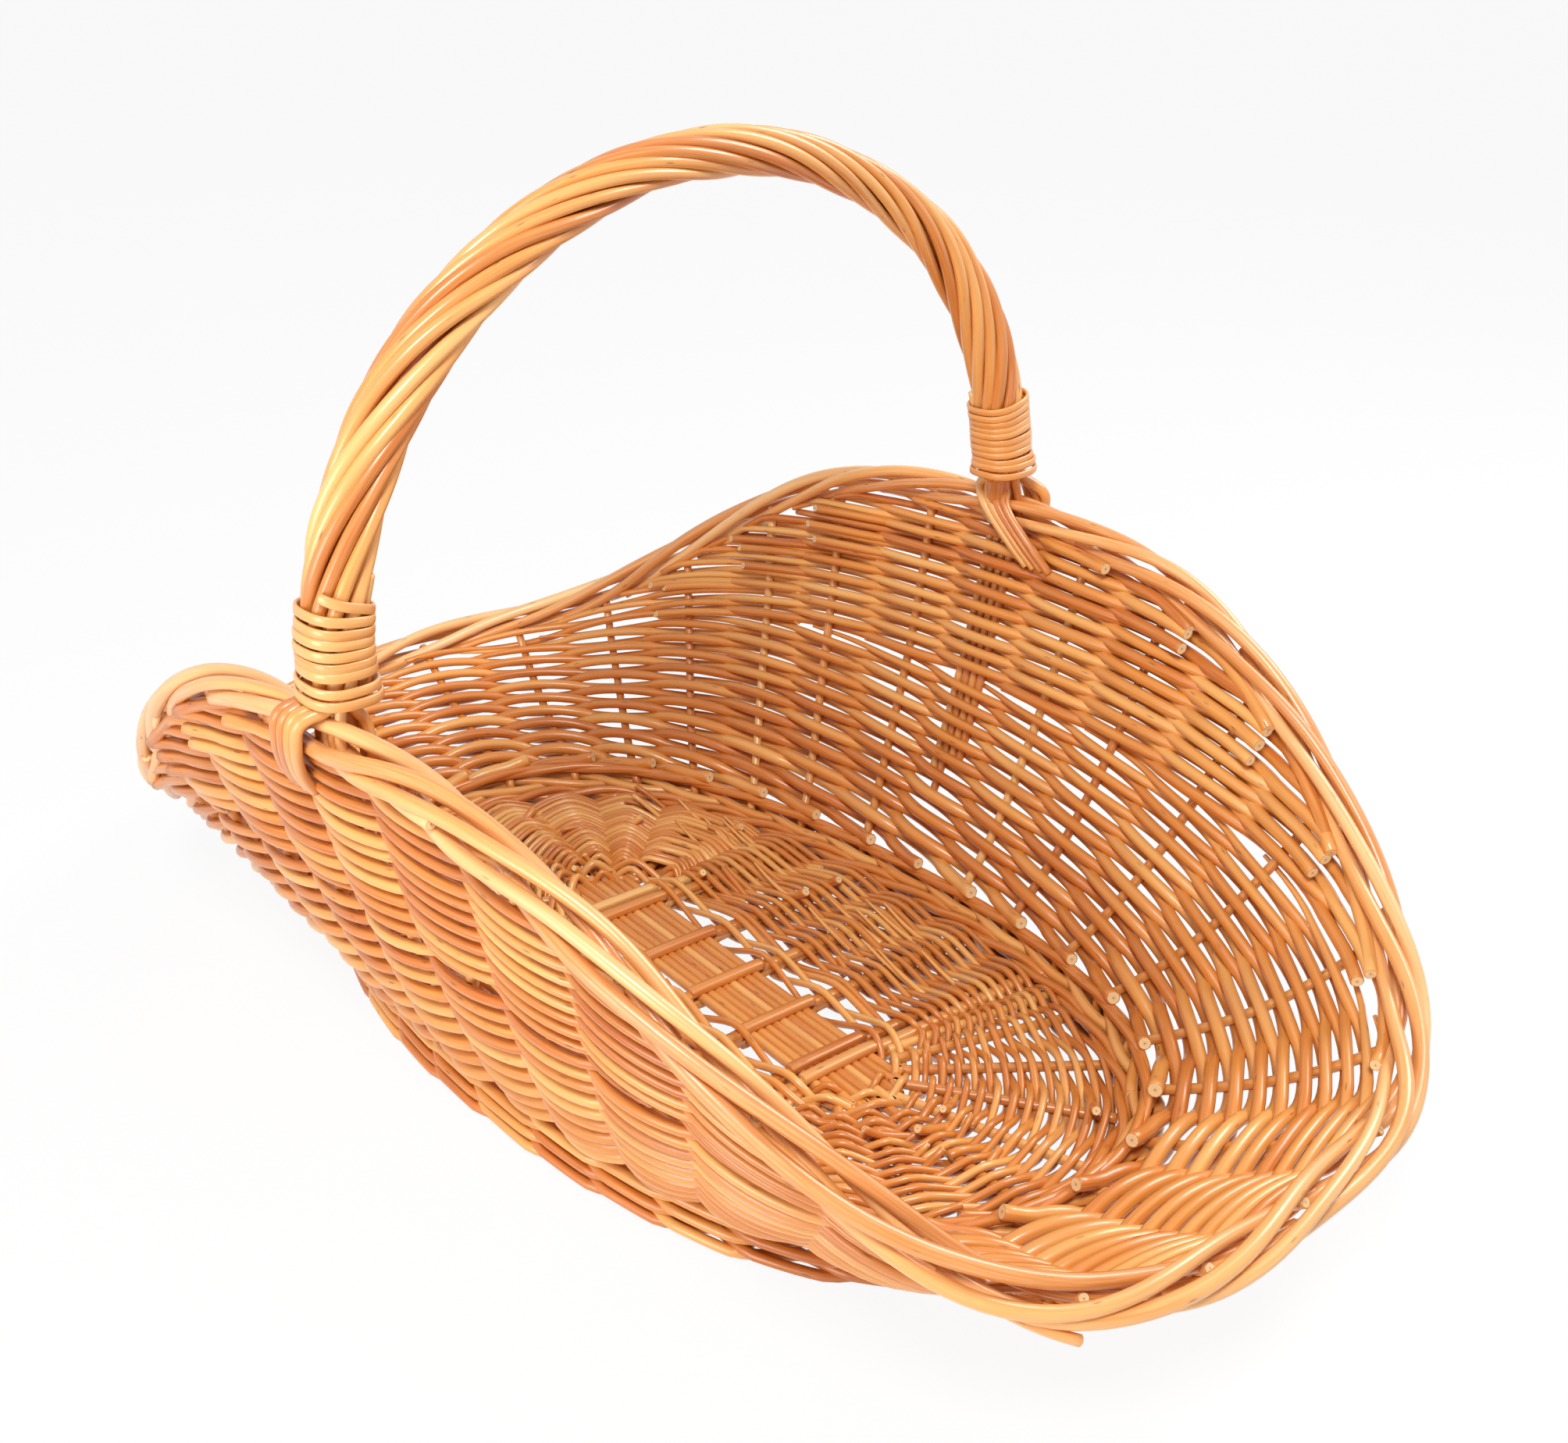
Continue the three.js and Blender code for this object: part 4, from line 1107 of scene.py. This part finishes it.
def handle_stub(rods, foot, heading):
    """A rope rod that was cut off just above a lashing."""
    point, out, across = handle_frame(STUB_PLACES if foot > 0 else HANDLE_LENGTH - STUB_PLACES)
    away = out * math.cos(heading) + across * math.sin(heading)
    depth = ROPE_OUTER_RADIUS - STUB_DEPTHS
    rods.add(smooth_path(point + away * depth[:, None], 16), STUB_RADIUS, tone=STUB_TONE)


def handle_rope():
    start_angles = np.arange(ROPE_RODS) * TURN / ROPE_RODS
    end_angles = start_angles + TURN * ROPE_TURNS
    far_tails = rope_tails(start_angles, 1, FAR_TAILS_OUTSIDE, FAR_TAILS_INSIDE)
    near_tails = rope_tails(end_angles, -1, NEAR_TAILS_OUTSIDE, NEAR_TAILS_INSIDE)
    strands = {"outer": Rods(21, 12), "inner": Rods(22, 12)}
    for rod in range(ROPE_RODS):
        rods = strands["outer" if np.cos(start_angles[rod]) > 0.01 else "inner"]
        distance = np.linspace(FAR_LASHING_START + FAR_ROPE_INSET, HANDLE_LENGTH - NEAR_ROPE_INSET, 220)
        share = distance / HANDLE_LENGTH
        point, out, across = handle_frame(distance)
        angle = start_angles[rod] + TURN * ROPE_TURNS * share + wander(rods.rng, share, 0.10, 2.2)
        fullness = rope_fullness(share)
        radius = (ROPE_OUTER_RADIUS - ROPE_ROD_RADIUS) * fullness + wander(rods.rng, share, 0.0005, 3.0)
        helix = point + out * (radius * np.cos(angle))[:, None] + across * (radius * np.sin(angle))[:, None]
        radii = ROPE_ROD_RADIUS * fullness * (1 + wander(rods.rng, share, 0.05, 1.5))
        pieces = [helix]
        sizes = [radii]
        if rod in far_tails:
            tail = smooth_path([*far_tails[rod][::-1], helix[0], helix[6]], 40)[:-8]
            pieces.insert(0, tail)
            sizes.insert(0, blend(TAIL_TIP_RADIUS, radii[0], np.linspace(0, 1, len(tail)) ** 2))
        if rod in near_tails:
            tail = smooth_path([helix[-7], helix[-1], *near_tails[rod]], 40)[9:]
            pieces.append(tail)
            sizes.append(blend(radii[-1], TAIL_TIP_RADIUS, np.linspace(0, 1, len(tail)) ** 0.5))
        rods.add(np.vstack(pieces), np.concatenate(sizes))
    for foot, heading in STUB_HEADINGS:
        handle_stub(strands["inner"], foot, math.radians(heading))
    for side, rods in strands.items():
        rods.build(f"handle_strand_{side}_rods", "handle", f"handle_strand_{side}")


def handle_bow():
    """The core of the handle and the rods of its two legs, which run down inside the weave."""
    rods = Rods(31, 12)
    distance = np.linspace(0, HANDLE_LENGTH, 120)
    point = handle_point(distance)
    radii = CORE_RADIUS * rope_fullness(distance / HANDLE_LENGTH)
    sunk = point[[0, -1]] - UP * LEG_DEPTH
    rods.add(np.vstack([sunk[0], point, sunk[1]]), np.concatenate([radii[:1], radii, radii[-1:]]))
    for foot, share in LEG_SHARES.items():
        for rod in range(LEG_RODS):
            offset = (rod - (LEG_RODS - 1) / 2) * LEG_ROD_PITCH
            level = np.linspace(LEG_ROD_LEVEL + rods.rng.uniform(-0.05, 0.1), 1.0, 12)
            wall = wall_point(share, level) + LENGTHWISE * offset
            top = leg_top(foot) + LENGTHWISE * offset * 0.8 + UP * LEG_ROD_TOP
            rods.add(smooth_path(np.vstack([wall, top]), 60), LEG_ROD_RADIUS)
    rods.build("handle_bow_rods", "handle", "handle_bow")


def lashing(name, at_far_end, turns, pitch):
    """A flat skein wound round one foot of the handle. The near one has a gap low down and a loose end."""
    rods = Rods(41 if at_far_end else 42, 10)
    turn = np.arange(0, turns, 1 / LASHING_STEPS)
    half_width = pitch * SKEIN_COVER
    distance = half_width + pitch * turn + wander(rods.rng, turn, 0.0004, 0.35)
    angle = TURN * turn
    radius = ROPE_OUTER_RADIUS * ROPE_FULLNESS + SKEIN_HALF_THICKNESS + wander(rods.rng, turn, 0.0002, 1.3)
    radius = radius + LASHING_FLARE * np.clip(1 - turn / FLARE_TURNS, 0, 1)
    if at_far_end:
        distance += FAR_LASHING_START
    else:
        loose = np.clip((turn - turns) / LOOSE_PART + 1, 0, 1)
        distance += NEAR_LASHING_GAP * np.clip(turn - 1, 0, 1) + LOOSE_CLIMB * loose
        angle += LOOSE_END - TURN * turns
        radius -= SKEIN_HALF_THICKNESS * loose ** 2
    point, out, across = handle_frame(distance if at_far_end else HANDLE_LENGTH - distance)
    wide = signed_power(np.cos(angle), LASHING_SQUARENESS)
    deep = signed_power(np.sin(angle), LASHING_SQUARENESS)
    away = out * wide[:, None] + across * deep[:, None]
    path = point + away * radius[:, None]
    if at_far_end:
        path = path + LENGTHWISE * (LASHING_LEAN * np.clip(1 - turn / LEAN_TURNS, 0, 1))[:, None]
    rods.add(path, half_width, normals=unit(away), flatness=SKEIN_HALF_THICKNESS / half_width)
    rods.build(f"{name}_skein", "skein", name)


# The set: floor, lights and camera

def seen_directly(nodes, link):
    """1 for rays that show the background: those from the camera, from a reflection or through glass."""
    path = nodes.new("ShaderNodeLightPath")
    value = path.outputs["Is Camera Ray"]
    for kind in ("Is Glossy Ray", "Is Transmission Ray"):
        either = nodes.new("ShaderNodeMath")
        either.operation = "MAXIMUM"
        link(value, either.inputs[0])
        link(path.outputs[kind], either.inputs[1])
        value = either.outputs[0]
    return value


def pale_floor():
    mesh = bpy.data.meshes.new("floor")
    corners = [(x * FLOOR_REACH, y * FLOOR_REACH, 0) for x, y in ((-1, -1), (1, -1), (1, 1), (-1, 1))]
    mesh.from_pydata(corners, [], [(0, 1, 2, 3)])
    floor = bpy.data.objects.new("floor", mesh)
    bpy.context.scene.collection.objects.link(floor)
    shader = Shader("pale_floor")
    set_inputs(shader.surface, {"Base Color": FLOOR_COLOUR, "Roughness": FLOOR_ROUGHNESS})
    glow = shader.node("ShaderNodeEmission")
    part = shader.node("ShaderNodeMath", operation="MULTIPLY")
    part.inputs[1].default_value = FLOOR_GLOW
    shader.link(seen_directly(shader.nodes, shader.link), part.inputs[0])
    both = shader.node("ShaderNodeMixShader")
    shader.link(part.outputs[0], both.inputs["Fac"])
    shader.link(shader.surface.outputs["BSDF"], both.inputs[1])
    shader.link(glow.outputs["Emission"], both.inputs[2])
    shader.link(both.outputs["Shader"], shader.nodes["Material Output"].inputs["Surface"])
    mesh.materials.append(shader.material)


def white_world():
    world = bpy.data.worlds.new("studio")
    bpy.context.scene.world = world
    world.use_nodes = True
    nodes, link = world.node_tree.nodes, world.node_tree.links.new
    background = nodes["Background"]
    strength = nodes.new("ShaderNodeMapRange")
    link(seen_directly(nodes, link), strength.inputs["Value"])
    set_inputs(strength, {"To Min": WORLD_LIGHT, "To Max": 1.0})
    link(strength.outputs["Result"], background.inputs["Strength"])
    set_inputs(background, {"Color": (1, 1, 1, 1)})


def softbox(name, place, target, size, power):
    lamp = bpy.data.lights.new(name, "AREA")
    lamp.shape = "DISK"
    lamp.size = size
    lamp.energy = power
    holder = bpy.data.objects.new(name, lamp)
    holder.location = place
    holder.rotation_euler = (Vector(target) - Vector(place)).to_track_quat("-Z", "Y").to_euler()
    bpy.context.scene.collection.objects.link(holder)


def photo_camera():
    camera = bpy.data.cameras.new("camera")
    camera.sensor_fit = "HORIZONTAL"
    camera.sensor_width = SENSOR_WIDTH
    camera.lens = FOCAL_PIXELS / PHOTO_WIDTH * SENSOR_WIDTH
    camera.clip_start = 0.01
    holder = bpy.data.objects.new("camera", camera)
    forward = Vector(CAMERA_FORWARD).normalized()
    right = forward.cross(Vector(CAMERA_UP)).normalized()
    upward = right.cross(forward)
    turned = Matrix((right, upward, -forward)).transposed().to_4x4()
    holder.matrix_world = Matrix.Translation(CAMERA_PLACE) @ turned
    bpy.context.scene.collection.objects.link(holder)
    bpy.context.scene.camera = holder


photo_camera()
side_stakes()
side_weave()
foot_wale()
border_roll()
slath_ends, cross_ends = base_spokes()
base_sticks(slath_ends, cross_ends)
base_weave(slath_ends, cross_ends)
handle_rope()
handle_bow()
lashing("handle_lashing_far", True, FAR_LASHING_TURNS, FAR_LASHING_PITCH)
lashing("handle_lashing_near", False, NEAR_LASHING_TURNS, NEAR_LASHING_PITCH)
pale_floor()
white_world()
softbox("key", place=(0.7, -0.8, 1.45), target=(0.12, -0.05, 0.12), size=0.5, power=21)
softbox("fill", place=(0.15, -1.5, 0.3), target=(0, 0, 0.12), size=0.9, power=14)
softbox("back", place=(0.4, 1.1, 1.2), target=(0.2, 0, 0.08), size=0.7, power=16)
bpy.context.scene.view_settings.view_transform = "Standard"
